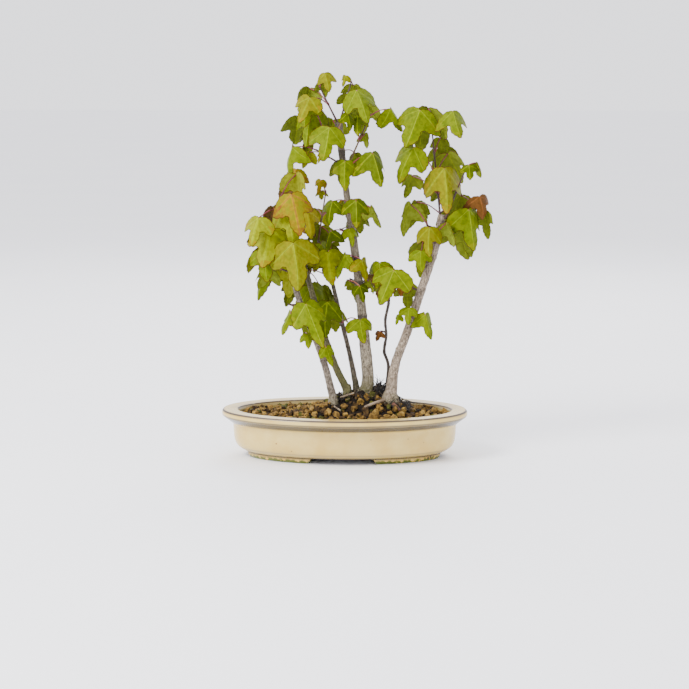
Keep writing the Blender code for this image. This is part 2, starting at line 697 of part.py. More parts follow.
def blade_mesh(leaf):
    """Three-lobed blade, folded along its midrib and given its thickness."""
    bm = bmesh.new()
    rib = [bm.verts.new(mm(*leaf.point(0.0, s))) for s in MIDRIB]
    for side in (-1, 1):
        edge = [bm.verts.new(mm(*leaf.point(side * x, s))) for x, s in HALF_OUTLINE]
        rows = ((rib[0], edge[0], rib[1]), (edge[0], edge[1], rib[1]), (edge[1], edge[2], rib[1]),
                (rib[1], edge[2], rib[2]), (edge[2], edge[3], rib[2]), (edge[3], rib[3], rib[2]))
        for row in rows:
            bm.faces.new(row if side > 0 else reversed(row))
    bm.normal_update()
    bmesh.ops.solidify(bm, geom=list(bm.faces), thickness=BLADE_THICKNESS * 0.001)
    return mesh_from(bm, "blade")


def make_spray(parts, spray, shoot, leaves):
    """Leaf mass of a spray: shoot, petioles and blades fused into one body."""
    working = new_collection(spray.name + "_leaves")
    for leaf in leaves:
        rows = [(*point, PETIOLE_RADIUS) for point in leaf.petiole]
        middle = leaf.face * BLADE_THICKNESS / 2
        tip = leaf.base + middle + leaf.along * PETIOLE_INSET * leaf.blade
        rows.append((*tip, PETIOLE_TIP_RADIUS))
        put(working, "petiole", tube("petiole", rows, 4), "leaf")
        put(working, "blade", blade_mesh(leaf), "leaf")
    mass = put(parts, spray.name, tube(spray.name, shoot, 6), "leaf")
    boolean(mass, "UNION", "EXACT", collection=working)
    drop_collection(working)
    keep_largest(mass)
    mass.data.materials.clear()
    mass.data.materials.append(material("leaf"))


def keep_largest(item):
    """Drop any loose scrap of a joined mesh, so that one body is left."""
    bm = bmesh.new()
    bm.from_mesh(item.data)
    left = set(bm.verts)
    bodies = []
    while left:
        seed = left.pop()
        body, fresh = {seed}, [seed]
        while fresh:
            for edge in fresh.pop().link_edges:
                for vertex in edge.verts:
                    if vertex in left:
                        left.discard(vertex)
                        body.add(vertex)
                        fresh.append(vertex)
        bodies.append(body)
    bodies.sort(key=len, reverse=True)
    for body in bodies[1:]:
        bmesh.ops.delete(bm, geom=list(body), context="VERTS")
    bm.to_mesh(item.data)
    bm.free()


def grow_all():
    """Shoot and leaves of every spray, kept clear of the limbs and of each other."""
    limbs = {limb.name: limb for limb in LIMBS}
    placed = Balls()
    for limb in LIMBS:
        rows = fine_path(limb_path(limb))
        placed.add([(*row.xyz, row.w + LIMB_BALL) for row in rows], limb.name)
    shoots = {}
    for spray in SPRAYS:
        shoots[spray.name] = shoot_path(spray, limbs[spray.limb])
        rows = fine_path(shoots[spray.name])
        placed.add([(*row.xyz, row.w + STEM_BALL) for row in rows], spray.name)
    return [(spray, shoots[spray.name], grow(spray, shoots[spray.name], placed)) for spray in SPRAYS]


def make_sprays(parts):
    """Every leaf mass as one solid."""
    for spray, shoot, leaves in grow_all():
        make_spray(parts, spray, shoot, leaves)


def centre_over_origin(parts):
    """Shift every solid in its mesh, so that the plant's box is centred over the origin."""
    corners = [item.matrix_world @ vertex.co for item in parts.objects for vertex in item.data.vertices]
    shift_x = (min(c.x for c in corners) + max(c.x for c in corners)) / 2
    shift_y = (min(c.y for c in corners) + max(c.y for c in corners)) / 2
    for item in parts.objects:
        item.data.transform(Matrix.Translation((-shift_x, -shift_y, 0.0)))


def main():
    """Build the plant and its pot."""
    clear_scene()
    parts = new_collection(OBJECT_NAME)
    make_pot(parts)
    make_soil(parts)
    make_limbs(parts)
    make_roots(parts)
    make_sprays(parts)
    centre_over_origin(parts)


main()
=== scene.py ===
"""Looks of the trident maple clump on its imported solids: leaves, bark, glazed pot and soil.

Lengths in the classes and tables are millimetres in the pot's own frame, with the pot's feet on
z = 0 and its middle on the Z axis. Bench turns them into metres in the part's frame.
"""
import logging
import math
from collections.abc import Iterable, Sequence
from dataclasses import dataclass, field
from enum import Enum, IntEnum
from random import Random

import bmesh
import bpy
import numpy as np
from mathutils import Matrix, Vector, noise


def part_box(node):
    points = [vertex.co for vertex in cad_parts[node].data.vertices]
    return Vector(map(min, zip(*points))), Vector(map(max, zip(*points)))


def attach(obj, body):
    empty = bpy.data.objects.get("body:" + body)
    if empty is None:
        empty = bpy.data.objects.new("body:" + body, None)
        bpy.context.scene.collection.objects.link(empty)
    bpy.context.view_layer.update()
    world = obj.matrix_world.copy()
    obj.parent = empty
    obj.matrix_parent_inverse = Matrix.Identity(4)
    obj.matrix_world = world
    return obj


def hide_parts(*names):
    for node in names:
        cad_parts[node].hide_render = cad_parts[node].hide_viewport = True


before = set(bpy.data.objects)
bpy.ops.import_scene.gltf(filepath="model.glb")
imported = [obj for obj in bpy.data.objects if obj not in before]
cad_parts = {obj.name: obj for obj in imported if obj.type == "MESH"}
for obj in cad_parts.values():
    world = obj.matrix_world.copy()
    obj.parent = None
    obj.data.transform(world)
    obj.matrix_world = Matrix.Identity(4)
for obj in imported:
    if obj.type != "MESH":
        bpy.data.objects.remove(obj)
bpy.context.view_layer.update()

LOG = logging.getLogger("maple")
BODY = "root"
MM = 0.001
CLEARANCE = 0.3
# A spray at this height grows from the tip of its limb
TIP = 999.0

Pair = tuple[float, float]
Triple = tuple[float, float, float]
Colour = Triple
Socket = bpy.types.NodeSocket
Node = bpy.types.Node
# A node stands for its first output
Source = Socket | Node
Form = bmesh.types.BMesh


def paint(code: str) -> Colour:
    """Linear red, green and blue, from 0 to 1, of an sRGB hex code such as "8f920c"."""
    shares = [int(code[start:start + 2], 16) / 255 for start in (0, 2, 4)]
    return tuple(s / 12.92 if s <= 0.04045 else ((s + 0.055) / 1.055) ** 2.4 for s in shares)


def heading_vector(bearing: float, rise: float = 0.0) -> Vector:
    """Unit vector at a bearing and a rise.

    Args:
        bearing: Degrees from +X towards +Y.
        rise: Degrees over the level.

    Returns:
        The vector.
    """
    turn = math.radians(bearing)
    lift = math.radians(rise)
    flat = math.cos(lift)
    return Vector((flat * math.cos(turn), flat * math.sin(turn), math.sin(lift)))


def falloff(away: float, reach: float, power: float = 2.0) -> float:
    """Mark that is 1 at no distance and fades out past a reach."""
    return math.exp(-(away / reach) ** power)


def catmull_rom(points: Iterable[Sequence[float]], steps: int) -> list[Vector]:
    """Points on the smooth curve through the given ones.

    Args:
        points: The points to run through, of any dimension.
        steps: How many points each span is given.

    Returns:
        The curve's points, with the first and last of the given ones at its ends.
    """
    rows = [Vector(point) for point in points]
    rows = [rows[0] * 2 - rows[1], *rows, rows[-1] * 2 - rows[-2]]
    curve = []
    for a, b, c, d in zip(rows, rows[1:], rows[2:], rows[3:]):
        for step in range(steps):
            t = step / steps
            curve.append(0.5 * (b * 2 + (c - a) * t + (a * 2 - b * 5 + c * 4 - d) * t ** 2
                                + (b * 3 - a - c * 3 + d) * t ** 3))
    curve.append(rows[-2])
    return curve


def fine_path(path: Sequence[Sequence[float]], spacing: float = 2.5) -> list[Vector]:
    """Points along a path of (x, y, z, radius) rows, no further apart than the spacing.

    Args:
        path: The rows.
        spacing: The most that two points may be apart.

    Returns:
        The finer rows.
    """
    rows = []
    for low, high in zip(path, path[1:]):
        low, high = Vector(low), Vector(high)
        count = max(1, math.ceil((high.xyz - low.xyz).length / spacing))
        rows.extend(low.lerp(high, step / count) for step in range(count))
    rows.append(Vector(path[-1]))
    return rows


# The growth rule of the solids, which the leaves here repeat


@dataclass(frozen=True)
class Limb:
    """A trunk, twig or root: the points (x, y, z, radius) that its centre line runs through."""

    name: str
    sides: int
    points: tuple
    collar_height: float = 1.5
    collar_share: float = 0.93

    def path(self, steps: int = 2) -> list[Vector]:
        """Smooth centre line, which leaves the ground upright over a short collar.

        Args:
            steps: How many points each span of the curve is given.

        Returns:
            Rows of x, y, z and radius.
        """
        first = Vector(self.points[0])
        collar = first + Vector((0.0, 0.0, self.collar_height, 0.0))
        collar.w = first.w * self.collar_share
        path = catmull_rom(self.points, steps)
        return [first, collar, *(point for point in path if point.z > collar.z + 1.0)]

    def at_height(self, height: float) -> Vector:
        """Point (x, y, z, radius) of the centre line at a height.

        Args:
            height: Height over the pot's feet.

        Returns:
            The point, or the tip where the limb ends lower.
        """
        path = self.path()
        for low, high in zip(path, path[1:]):
            if height <= high.z:
                return low.lerp(high, (height - low.z) / (high.z - low.z))
        return path[-1]


class Tint(Enum):
    """Colours that a leaf blade turns through, from deep summer green to a dry leaf."""

    DEEP = "3a4601"
    GREEN = "475401"
    FRESH = "546302"
    OLIVE = "686a03"
    LIME = "7a8202"
    YELLOW = "8f8607"
    AMBER = "806906"
    RUST = "6b4412"
    DRY = "593618"


WARMER = {
    Tint.DEEP: Tint.GREEN, Tint.GREEN: Tint.OLIVE, Tint.FRESH: Tint.OLIVE,
    Tint.OLIVE: Tint.AMBER, Tint.LIME: Tint.AMBER, Tint.YELLOW: Tint.AMBER,
    Tint.AMBER: Tint.RUST, Tint.RUST: Tint.DRY, Tint.DRY: Tint.DRY,
}


# The second tint in the patches of a leaf, and how far it covers the first
PATCHES = {
    Tint.FRESH: (Tint.LIME, 0.3), Tint.OLIVE: (Tint.AMBER, 0.2), Tint.LIME: (Tint.AMBER, 0.15),
    Tint.YELLOW: (Tint.AMBER, 0.3), Tint.AMBER: (Tint.OLIVE, 0.8), Tint.RUST: (Tint.AMBER, 0.3),
}


class Mix(Enum):
    """What tints the leaves of a spray are dealt."""

    SHADE = (Tint.GREEN, Tint.DEEP, Tint.GREEN, Tint.FRESH)
    GREEN = (Tint.FRESH, Tint.GREEN, Tint.FRESH, Tint.OLIVE)
    BRIGHT = (Tint.LIME, Tint.FRESH, Tint.OLIVE, Tint.FRESH)
    WARM = (Tint.LIME, Tint.OLIVE, Tint.LIME, Tint.YELLOW, Tint.FRESH)
    TURNED = (Tint.YELLOW, Tint.LIME, Tint.AMBER)


@dataclass(frozen=True)
class Spray:
    """A shoot with opposite leaves, each (bearing, rise, petiole, blade), from the foot up."""

    name: str
    limb: str
    height: float
    heading: float
    rise: float
    length: float
    mix: Mix
    leaves: tuple


LIMBS = (
    Limb("trunk_main", 24, (
        (19.2, 0, 54.0, 7.0), (19.8, 0, 60, 6.0), (21, 0, 72, 5.3), (18.3, 0, 100, 5.0),
        (13.8, 0, 146, 3.9), (7, 2, 199, 3.6), (2.6, 3, 227.5, 2.9), (-1.7, 4, 261.6, 3.0),
        (-5.6, 5, 297.5, 3.5))),
    Limb("trunk_left_front", 20, (
        (-9.4, -14, 51.0, 4.6), (-9.9, -14, 56, 3.6), (-17.6, -16, 87, 2.9), (-29.6, -20, 120, 2.8),
        (-40.6, -24, 149, 2.5), (-45.9, -26, 180, 2.2), (-54.6, -27, 201, 1.4))),
    Limb("trunk_left_back", 20, (
        (3.0, 0, 54.5, 4.7), (1.4, 0, 61, 3.6), (-8.1, 2, 80, 3.1), (-17.9, 5, 106, 3.0),
        (-25.4, 10, 130, 2.6), (-38.1, 17, 174, 2.2), (-42.8, 20, 187, 1.6))),
    Limb("trunk_middle", 20, (
        (10.6, 12, 53.4, 3.9), (9.9, 12, 60, 3.0), (4.1, 14, 89, 2.1), (-4.4, 18, 122, 2.0),
        (-14, 23, 160, 1.7), (-25.3, 28, 191, 1.3))),
    Limb("trunk_right", 24, (
        (41.0, -8, 51.0, 7.0), (41.8, -8, 57, 5.5), (45.6, -6, 84, 4.1), (56.5, -3, 114, 3.9),
        (68.4, 1, 150, 3.8), (82.3, 6, 194, 3.5), (85.6, 8, 216, 3.0))),
    Limb("dry_twig", 10, (
        (36.2, 9, 51.6, 1.9), (36.9, 9, 58, 1.5), (38.9, 9, 80, 1.4), (35.2, 9, 93, 1.4),
        (36.9, 9, 107, 1.3), (36.1, 9, 122, 1.3), (39.2, 9, 139, 1.3), (37.1, 9, 158.8, 1.1))),
)

SPRAYS = (
    Spray("leaves_top_left", "trunk_main", TIP, 165, 62, 34, Mix.BRIGHT, (
        (-124, 13, 26, 25), (131, 25, 32, 24), (-61, 49, 16, 18), (49, 53, 6, 15))),
    Spray("leaves_top_right", "trunk_main", TIP, 30, 72, 36, Mix.BRIGHT, (
        (-59, 24, 26, 32), (89, 16, 24, 17), (-152, 47, 8, 10), (80, -17, 9, 17))),
    Spray("leaves_crest_left", "trunk_main", 288, 180, 15, 22, Mix.GREEN, (
        (-137, 55, 30, 23), (138, 6, 14, 29), (-104, 80, 16, 36), (122, 22, 21, 28))),
    Spray("leaves_crest_right", "trunk_main", 259, 20, 65, 49, Mix.GREEN, (
        (-102, 75, 23, 19), (1, 49, 8, 13), (3, 18, 19, 23), (117, 50, 13, 28))),
    Spray("leaves_upper_front", "trunk_main", 278, 230, 25, 6, Mix.SHADE, (
        (-100, 42, 19, 31), (-17, 63, 28, 16))),
    Spray("leaves_upper_left", "trunk_main", 262, 185, 30, 22, Mix.WARM, (
        (-139, 23, 7, 9), (152, 11, 19, 16), (-178, 6, 22, 28))),
    Spray("leaves_upper_back", "trunk_main", 270, 80, 25, 6, Mix.GREEN, (
        (128, 57, 31, 26), (59, -11, 18, 17))),
    Spray("leaves_middle_front", "trunk_main", 252, -80, 30, 6, Mix.GREEN, (
        (-89, 40, 14, 26), (-44, 27, 37, 32))),
    Spray("leaves_middle_back", "trunk_main", 240, 90, 25, 6, Mix.GREEN, (
        (121, 62, 23, 16), (103, 41, 30, 24))),
    Spray("leaves_node_front", "trunk_main", 226, -70, 20, 6, Mix.SHADE, (
        (-137, 6, 21, 21), (-74, 8, 21, 24), (1, -15, 18, 21))),
    Spray("leaves_node_back", "trunk_main", 214, 80, 20, 6, Mix.GREEN, (
        (79, -6, 26, 19), (106, 54, 15, 22))),
    Spray("leaves_node_left", "trunk_main", 200, 200, 30, 7, Mix.SHADE, (
        (-158, 2, 13, 19), (-55, 14, 9, 17), (65, -3, 16, 14))),
    Spray("leaves_node_low", "trunk_main", 178, -100, 25, 5, Mix.GREEN, (
        (-180, 12, 7, 23), (-4, -25, 8, 20))),
    Spray("leaves_node_foot", "trunk_main", 156, 190, 25, 5, Mix.SHADE, (
        (-49, -15, 15, 15), (67, -10, 16, 20))),
    Spray("leaves_outer_mid", "trunk_left_front", 168, 230, 15, 9, Mix.WARM, (
        (92, 12, 20, 31), (-72, 50, 34, 43), (148, 1, 18, 20))),
    Spray("leaves_centre_mid", "trunk_middle", 186, 20, 20, 12, Mix.WARM, (
        (-99, -14, 27, 31), (134, 36, 21, 30))),
    Spray("leaves_outer_top", "trunk_left_front", TIP, 95, 78, 32, Mix.WARM, (
        (123, 46, 16, 24), (-57, 53, 16, 39), (-127, -11, 29, 26), (-56, 32, 27, 37),
        (41, 49, 26, 30), (72, 20, 22, 22))),
    Spray("leaves_outer_side", "trunk_left_front", 186, 190, 10, 16, Mix.WARM, (
        (-115, 58, 22, 35), (100, 38, 36, 41), (106, 0, 11, 35), (-96, -29, 5, 27))),
    Spray("leaves_outer_low", "trunk_left_front", 136, 200, 20, 9, Mix.BRIGHT, (
        (-51, 10, 18, 43), (-181, -63, 7, 22), (62, -18, 26, 30))),
    Spray("leaves_outer_foot", "trunk_left_front", 112, 215, 20, 5, Mix.BRIGHT, (
        (-77, 1, 9, 13), (-30, -26, 25, 18))),
    Spray("leaves_inner_top", "trunk_left_back", TIP, 85, 76, 44, Mix.TURNED, (
        (-40, 44, 14, 26), (121, 41, 18, 43), (-115, 73, 26, 22), (119, -17, 25, 42))),
    Spray("leaves_inner_mid", "trunk_left_back", 172, 10, 25, 9, Mix.GREEN, (
        (-132, 47, 25, 42), (-7, 59, 17, 31), (109, 19, 22, 25))),
    Spray("leaves_inner_back", "trunk_left_back", 162, 95, 20, 16, Mix.GREEN, (
        (55, -43, 26, 33), (186, 19, 32, 41), (155, 15, 36, 30), (139, -37, 23, 26))),
    Spray("leaves_inner_low", "trunk_left_back", 140, 120, 25, 9, Mix.SHADE, (
        (-17, 68, 8, 36), (125, 21, 11, 22))),
    Spray("leaves_inner_foot", "trunk_left_back", 118, -20, 25, 5, Mix.SHADE, (
        (-90, 48, 26, 34), (84, 11, 33, 22))),
    Spray("leaves_centre_top", "trunk_middle", TIP, 60, 74, 44, Mix.TURNED, (
        (-24, 35, 26, 10), (116, 19, 16, 24), (-146, 66, 12, 13), (112, 4, 11, 9))),
    Spray("leaves_centre_back", "trunk_middle", 156, 110, 25, 12, Mix.SHADE, (
        (88, 51, 33, 16), (173, 10, 28, 26), (102, 47, 17, 21))),
    Spray("leaves_centre_low", "trunk_middle", 117, -90, 20, 5, Mix.GREEN, (
        (-59, 10, 34, 21), (138, 32, 38, 25))),
    Spray("leaves_crest", "trunk_right", TIP, 165, 84, 90, Mix.GREEN, (
        (-76, 52, 30, 42), (146, 29, 32, 22), (-139, 43, 35, 34), (30, 57, 21, 31),
        (63, 51, 17, 17), (76, 8, 33, 24), (-124, 49, 27, 36), (-55, 33, 36, 26),
        (107, 27, 8, 40))),
    Spray("leaves_crest_side", "trunk_right", 208, 5, 25, 30, Mix.BRIGHT, (
        (-41, 30, 18, 37), (42, -40, 14, 26), (-22, 49, 21, 20), (22, 2, 18, 24),
        (117, 24, 27, 33))),
    Spray("leaves_right_left", "trunk_right", 204, 200, 20, 8, Mix.BRIGHT, (
        (-189, 50, 24, 29), (99, 26, 21, 9))),
    Spray("leaves_crest_back", "trunk_right", 211, 95, 40, 18, Mix.BRIGHT, (
        (63, 1, 31, 38), (168, 24, 24, 25), (73, 48, 28, 26))),
    Spray("leaves_right_front", "trunk_right", 192, -110, 20, 6, Mix.BRIGHT, (
        (-108, 52, 15, 27), (19, 51, 19, 22))),
    Spray("leaves_right_back", "trunk_right", 186, 80, 25, 6, Mix.GREEN, (
        (50, 35, 34, 37), (120, 0, 24, 32))),
    Spray("leaves_right_inner", "trunk_right", 178, 190, 20, 6, Mix.GREEN, (
        (-91, 31, 9, 19), (88, 36, 18, 27))),
    Spray("leaves_right_low", "trunk_right", 150, 190, 25, 8, Mix.BRIGHT, (
        (-125, 34, 28, 33), (92, 1, 14, 23))),
    Spray("leaves_right_foot", "trunk_right", 126, -95, 20, 5, Mix.GREEN, (
        (-103, 39, 14, 15), (-35, 11, 15, 23), (-158, 5, 12, 9))),
    Spray("leaves_twig_top", "dry_twig", TIP, 90, 60, 5, Mix.GREEN, (
        (-114, 40, 19, 23), (-52, 17, 19, 23), (96, -65, 8, 24), (102, -1, 21, 32))),
)

# Finer twigs with young leaves, which the solids leave out
YOUNG_SPRAYS = (
    Spray("young_foot_left", "trunk_main", 157.5, 172, 35, 2.5, Mix.BRIGHT, (
        (-150, 15, 4, 9), (150, -20, 3, 7))),
    Spray("young_foot_right", "trunk_main", 157.5, -12, 30, 2.5, Mix.BRIGHT, (
        (-40, 0, 4, 9), (10, -25, 3, 12))),
    Spray("young_node_right", "trunk_main", 228, -12, 35, 2.5, Mix.GREEN, (
        (-30, 10, 4, 10), (30, -10, 4, 9))),
    Spray("young_crest", "trunk_right", 214, -25, 66, 50, Mix.GREEN, (
        (-50, 20, 8, 15), (10, 30, 7, 12), (-70, 10, 6, 13), (20, 20, 9, 14))),
    Spray("young_dry", "dry_twig", 111, 180, 10, 2.0, Mix.GREEN, (
        (-150, -20, 2, 9), (150, 10, 2, 6))),
    Spray("young_right_bud", "trunk_right", 126.5, 10, 45, 2.0, Mix.BRIGHT, (
        (-20, 35, 3, 8), (40, 20, 3, 7))),
)

# Leaves whose tint stands out on its own, by their place on the shoot
SPECIAL_TINTS = {
    "leaves_crest_side": {2: Tint.DRY},
    "leaves_twig_top": {1: Tint.RUST, 3: Tint.RUST},
    "leaves_upper_left": {2: Tint.FRESH},
    "leaves_inner_top": {0: Tint.YELLOW, 2: Tint.AMBER},
    "leaves_outer_top": {0: Tint.AMBER, 2: Tint.LIME, 3: Tint.AMBER, 5: Tint.RUST},
    "leaves_outer_mid": {1: Tint.OLIVE},
    "leaves_right_low": {0: Tint.FRESH},
    "leaves_top_right": {0: Tint.FRESH},
    "leaves_centre_top": {2: Tint.AMBER, 3: Tint.YELLOW},
    "leaves_centre_mid": {0: Tint.LIME},
    "young_dry": {0: Tint.DRY, 1: Tint.DRY},
}


@dataclass(frozen=True)
class Leaf:
    """A placed leaf: its petiole's points and the frame and size of its blade."""

    spray: Spray
    index: int
    petiole: tuple
    base: Vector
    along: Vector
    face: Vector
    blade: float
    spread: float
    fold: float
    curl: float

    ALONG = (0.08, 0.3, 0.52, 0.74, 0.95)
    BESIDE = ((0.24, 0.02), (0.12, 0.16), (0.26, 0.17), (0.40, 0.20), (0.48, 0.32),
              (0.33, 0.34), (0.19, 0.32), (0.14, 0.47), (0.15, 0.62), (0.12, 0.78))

    def point(self, x: float, s: float) -> Vector:
        """Place of an outline point, given in blade lengths.

        Args:
            x: Across the blade, to the right.
            s: Along it, from the petiole.

        Returns:
            The place in millimetres.
        """
        across = self.face.cross(self.along)
        height = -self.fold * abs(x) - self.curl * s * s
        flat = across * (x * self.spread) + self.along * s + self.face * height
        return self.base + flat * self.blade

    def balls(self) -> list[tuple[float, ...]]:
        """Balls (x, y, z, radius) along the petiole and over the blade.

        Returns:
            The balls, those of the petiole first.
        """
        size = 0.07 * self.blade
        rows = [(*point, 1.05) for point in self.petiole[1:]]
        rows.extend((*self.point(0.0, s), size) for s in self.ALONG)
        for side in (-1, 1):
            rows.extend((*self.point(side * x, s), size) for x, s in self.BESIDE)
        return rows

    def dice(self, purpose: str) -> Random:
        """The leaf's own random numbers for one purpose."""
        return Random(f"{purpose}{self.spray.name}{self.index}")

    @property
    def tint(self) -> Tint:
        """The tint that this leaf is dealt."""
        dealt = self.dice("tint").choice(self.spray.mix.value)
        return SPECIAL_TINTS.get(self.spray.name, {}).get(self.index, dealt)


class Balls:
    """Balls that stand for what is already placed, so that a new leaf keeps clear of it."""

    def __init__(self) -> None:
        """Start with one ball far away, so that a gap can always be measured."""
        self.centres = np.full((1, 3), -1000.0)
        self.radii = np.zeros(1)
        self.owners = np.array([""], dtype=object)

    def add(self, points: Iterable[Sequence[float]], owner: str) -> None:
        """Take in balls (x, y, z, radius).

        Args:
            points: The balls.
            owner: The name of the limb or spray that they belong to.
        """
        rows = np.array([tuple(point) for point in points])
        self.centres = np.vstack((self.centres, rows[:, :3]))
        self.radii = np.concatenate((self.radii, rows[:, 3]))
        self.owners = np.concatenate((self.owners, np.full(len(rows), owner, dtype=object)))

    def gap(self, points: Iterable[Sequence[float]], owner: str | None = None) -> float:
        """Smallest gap between the given balls and those placed for anyone but their owner.

        Args:
            points: The balls (x, y, z, radius) to be placed.
            owner: Whose balls are left out.

        Returns:
            The gap, below 0 where they overlap.
        """
        rows = np.array([tuple(point) for point in points])
        others = self.owners != owner
        apart = np.linalg.norm(rows[:, None, :3] - self.centres[None, others, :], axis=2)
        return float((apart - rows[:, None, 3] - self.radii[None, others]).min())


@dataclass
class Growth:
    """The rule that hangs leaves on shoots, and keeps them clear of limbs and each other."""

    limbs: dict[str, Limb]
    shoots: dict[str, list[Vector]] = field(default_factory=dict)
    leaves: list[Leaf] = field(default_factory=list)
    placed: Balls = field(default_factory=Balls)
    tries: int = 12
    hang: float = 66.0
    arch: float = 0.40
    stem: float = 0.85
    stem_foot: float = 1.25
    stem_taper: float = 0.45

    def shoot(self, spray: Spray) -> list[Vector]:
        """Centre line of a spray's shoot, from just outside its limb.

        Args:
            spray: The spray that it carries.

        Returns:
            Rows of x, y, z and radius.
        """
        foot = self.limbs[spray.limb].at_height(spray.height)
        run = heading_vector(spray.heading, spray.rise)
        side = heading_vector(spray.heading)
        if spray.height == TIP:
            lift = CLEARANCE + self.stem * self.stem_foot * math.hypot(run.x, run.y)
            start = foot.xyz + side * 0.45 * foot.w + Vector((0.0, 0.0, lift))
        else:
            start = foot.xyz + side * (foot.w + CLEARANCE + 0.35 + self.stem * abs(run.z))
        rows = []
        for t in (0.0, 0.5, 1.0):
            radius = self.stem * (self.stem_foot - self.stem_taper * t)
            rows.append(Vector((*(start + run * spray.length * t), radius)))
        return rows

    def place(self, spray: Spray, node: Vector, index: int, attempt: int) -> Leaf:
        """One leaf of a spray, hung from a node of its shoot; later attempts turn it further.

        Args:
            spray: The leaf's spray.
            node: The point of the shoot that it hangs from.
            index: Its place in the spray.
            attempt: How often it has found no room so far.

        Returns:
            The placed leaf.
        """
        source = Random(f"{spray.name}{index}{attempt}")
        jitter = min(attempt, 4)
        bearing, rise, petiole, blade = spray.leaves[index]
        bearing += source.uniform(-4.0, 4.0)
        bearing += jitter * source.uniform(-9.0, 9.0)
        rise += jitter * source.uniform(-6.0, 6.0)
        run = heading_vector(bearing, rise)
        path = []
        for t in (0.0, 0.5, 1.0):
            path.append(node + run * petiole * t + Vector((0.0, 0.0, self.arch * petiole * (t - t * t))))
        hang = self.hang + source.uniform(-11.0, 9.0)
        along = heading_vector(bearing + source.uniform(-14.0, 14.0), -hang)
        outward = Vector((0.55 * run.x, run.y + math.copysign(0.45, run.y), 0.30))
        outward.normalize()
        face = (outward - along * outward.dot(along)).normalized()
        spread = source.uniform(0.62, 0.94) - 0.007 * max(0.0, blade - 30.0)
        fold = source.uniform(0.25, 0.75)
        curl = source.uniform(0.0, 0.22)
        base = path[-1] - along * 0.02 * blade
        return Leaf(spray, index, tuple(path), base, along, face, blade, spread, fold, curl)

    def grow(self, spray: Spray) -> None:
        """Hang a spray's leaves; one that finds no room is left out.

        Args:
            spray: The spray, whose shoot has its place.
        """
        placed = self.placed
        shoot = self.shoots[spray.name]
        pairs = (len(spray.leaves) + 1) // 2
        own = Balls()
        hung = []
        for index in sorted(range(len(spray.leaves)), key=lambda row: -spray.leaves[row][3]):
            share = (index // 2 + 1) / pairs
            node = shoot[0].xyz.lerp(shoot[-1].xyz, share - 0.5 / spray.length)
            for attempt in range(self.tries):
                leaf = self.place(spray, node, index, attempt)
                balls = leaf.balls()
                if placed.gap(balls, spray.name) > CLEARANCE and own.gap(balls[2:]) > CLEARANCE:
                    hung.append(leaf)
                    own.add(balls[2:], spray.name)
                    break
        for leaf in hung:
            placed.add(leaf.balls(), spray.name)
        self.leaves.extend(hung)

    def grow_all(self, sprays: Iterable[Spray]) -> None:
        """Hang the leaves of every spray, in their order, clear of what is there already.

        Args:
            sprays: The sprays, in the order in which they take their room.
        """
        if not self.shoots:
            for limb in self.limbs.values():
                rows = fine_path(limb.path())
                self.placed.add([(*row.xyz, row.w + 0.4) for row in rows], limb.name)
        for spray in sprays:
            self.shoots[spray.name] = self.shoot(spray)
            rows = fine_path(self.shoots[spray.name])
            self.placed.add([(*row.xyz, row.w + 0.5) for row in rows], spray.name)
        for spray in sprays:
            self.grow(spray)


# Meshes


@dataclass
class Shape:
    """A small mesh as arrays, which many copies are made of."""

    points: np.ndarray
    faces: list[tuple[int, ...]]
    zones: list[int]

    @classmethod
    def of(cls, bm: Form) -> "Shape":
        """Arrays of a bmesh, which is freed.

        Args:
            bm: The bmesh.

        Returns:
            The shape.
        """
        bm.verts.index_update()
        points = np.array([tuple(vertex.co) for vertex in bm.verts])
        faces = [tuple(corner.index for corner in face.verts) for face in bm.faces]
        zones = [face.material_index for face in bm.faces]
        bm.free()
        return cls(points, faces, zones)


class Joined:
    """One mesh that many small shapes are gathered into."""

    def __init__(self) -> None:
        """Start empty."""
        self.points: list[np.ndarray] = []
        self.faces: list[tuple[int, ...]] = []
        self.zones: list[int] = []
        self.count = 0

    def add(self, shape: Shape, points: np.ndarray, zones: Sequence[int]) -> None:
        """Copy a shape in.

        Args:
            shape: The shape whose faces are copied.
            points: Where its vertices go.
            zones: The material index that each of the shape's own zones takes.
        """
        self.faces.extend(tuple(corner + self.count for corner in face) for face in shape.faces)
        self.zones.extend(zones[zone] for zone in shape.zones)
        self.points.append(points)
        self.count += len(points)

    def mesh(self, name: str) -> bpy.types.Mesh:
        """The gathered mesh.

        Args:
            name: The mesh's name.

        Returns:
            The mesh.
        """
        made = bpy.data.meshes.new(name)
        made.from_pydata(np.vstack(self.points), [], self.faces)
        made.polygons.foreach_set("material_index", self.zones)
        return made


@dataclass(frozen=True)
class Bench:
    """Where finished meshes become pieces of the part."""

    middle: Vector

    def piece(self, name: str, mesh: bpy.types.Mesh | Form, finishes: Sequence["Finish"],
              slot: str, replaces: Iterable[str] = (), sharp: float = 40.0) -> bpy.types.Object:
        """Turn a mesh in the pot's millimetres into a piece that rides on the body.

        Args:
            name: The piece's name.
            mesh: Its mesh or bmesh.
            finishes: The finishes of its material indices, in order.
            slot: The record's material slot; not used.
            replaces: The CAD nodes that it stands for.
            sharp: Angle in degrees over which an edge stays sharp.

        Returns:
            The new object.
        """
        if isinstance(mesh, Form):
            made = bpy.data.meshes.new(name)
            bmesh.ops.recalc_face_normals(mesh, faces=mesh.faces)
            mesh.to_mesh(made)
            mesh.free()
            mesh = made
        place = Matrix.Translation(self.middle) @ Matrix.Scale(MM, 4)
        mesh.transform(place)
        item = bpy.data.objects.new(name, mesh)
        bpy.context.scene.collection.objects.link(item)
        for finish in finishes:
            mesh.materials.append(finish.material())
        mesh.shade_smooth()
        mesh.set_sharp_from_angle(angle=math.radians(sharp))
        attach(item, BODY)
        if replaces:
            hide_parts(*replaces)
        LOG.info("%s: %d faces", name, len(mesh.polygons))
        return item


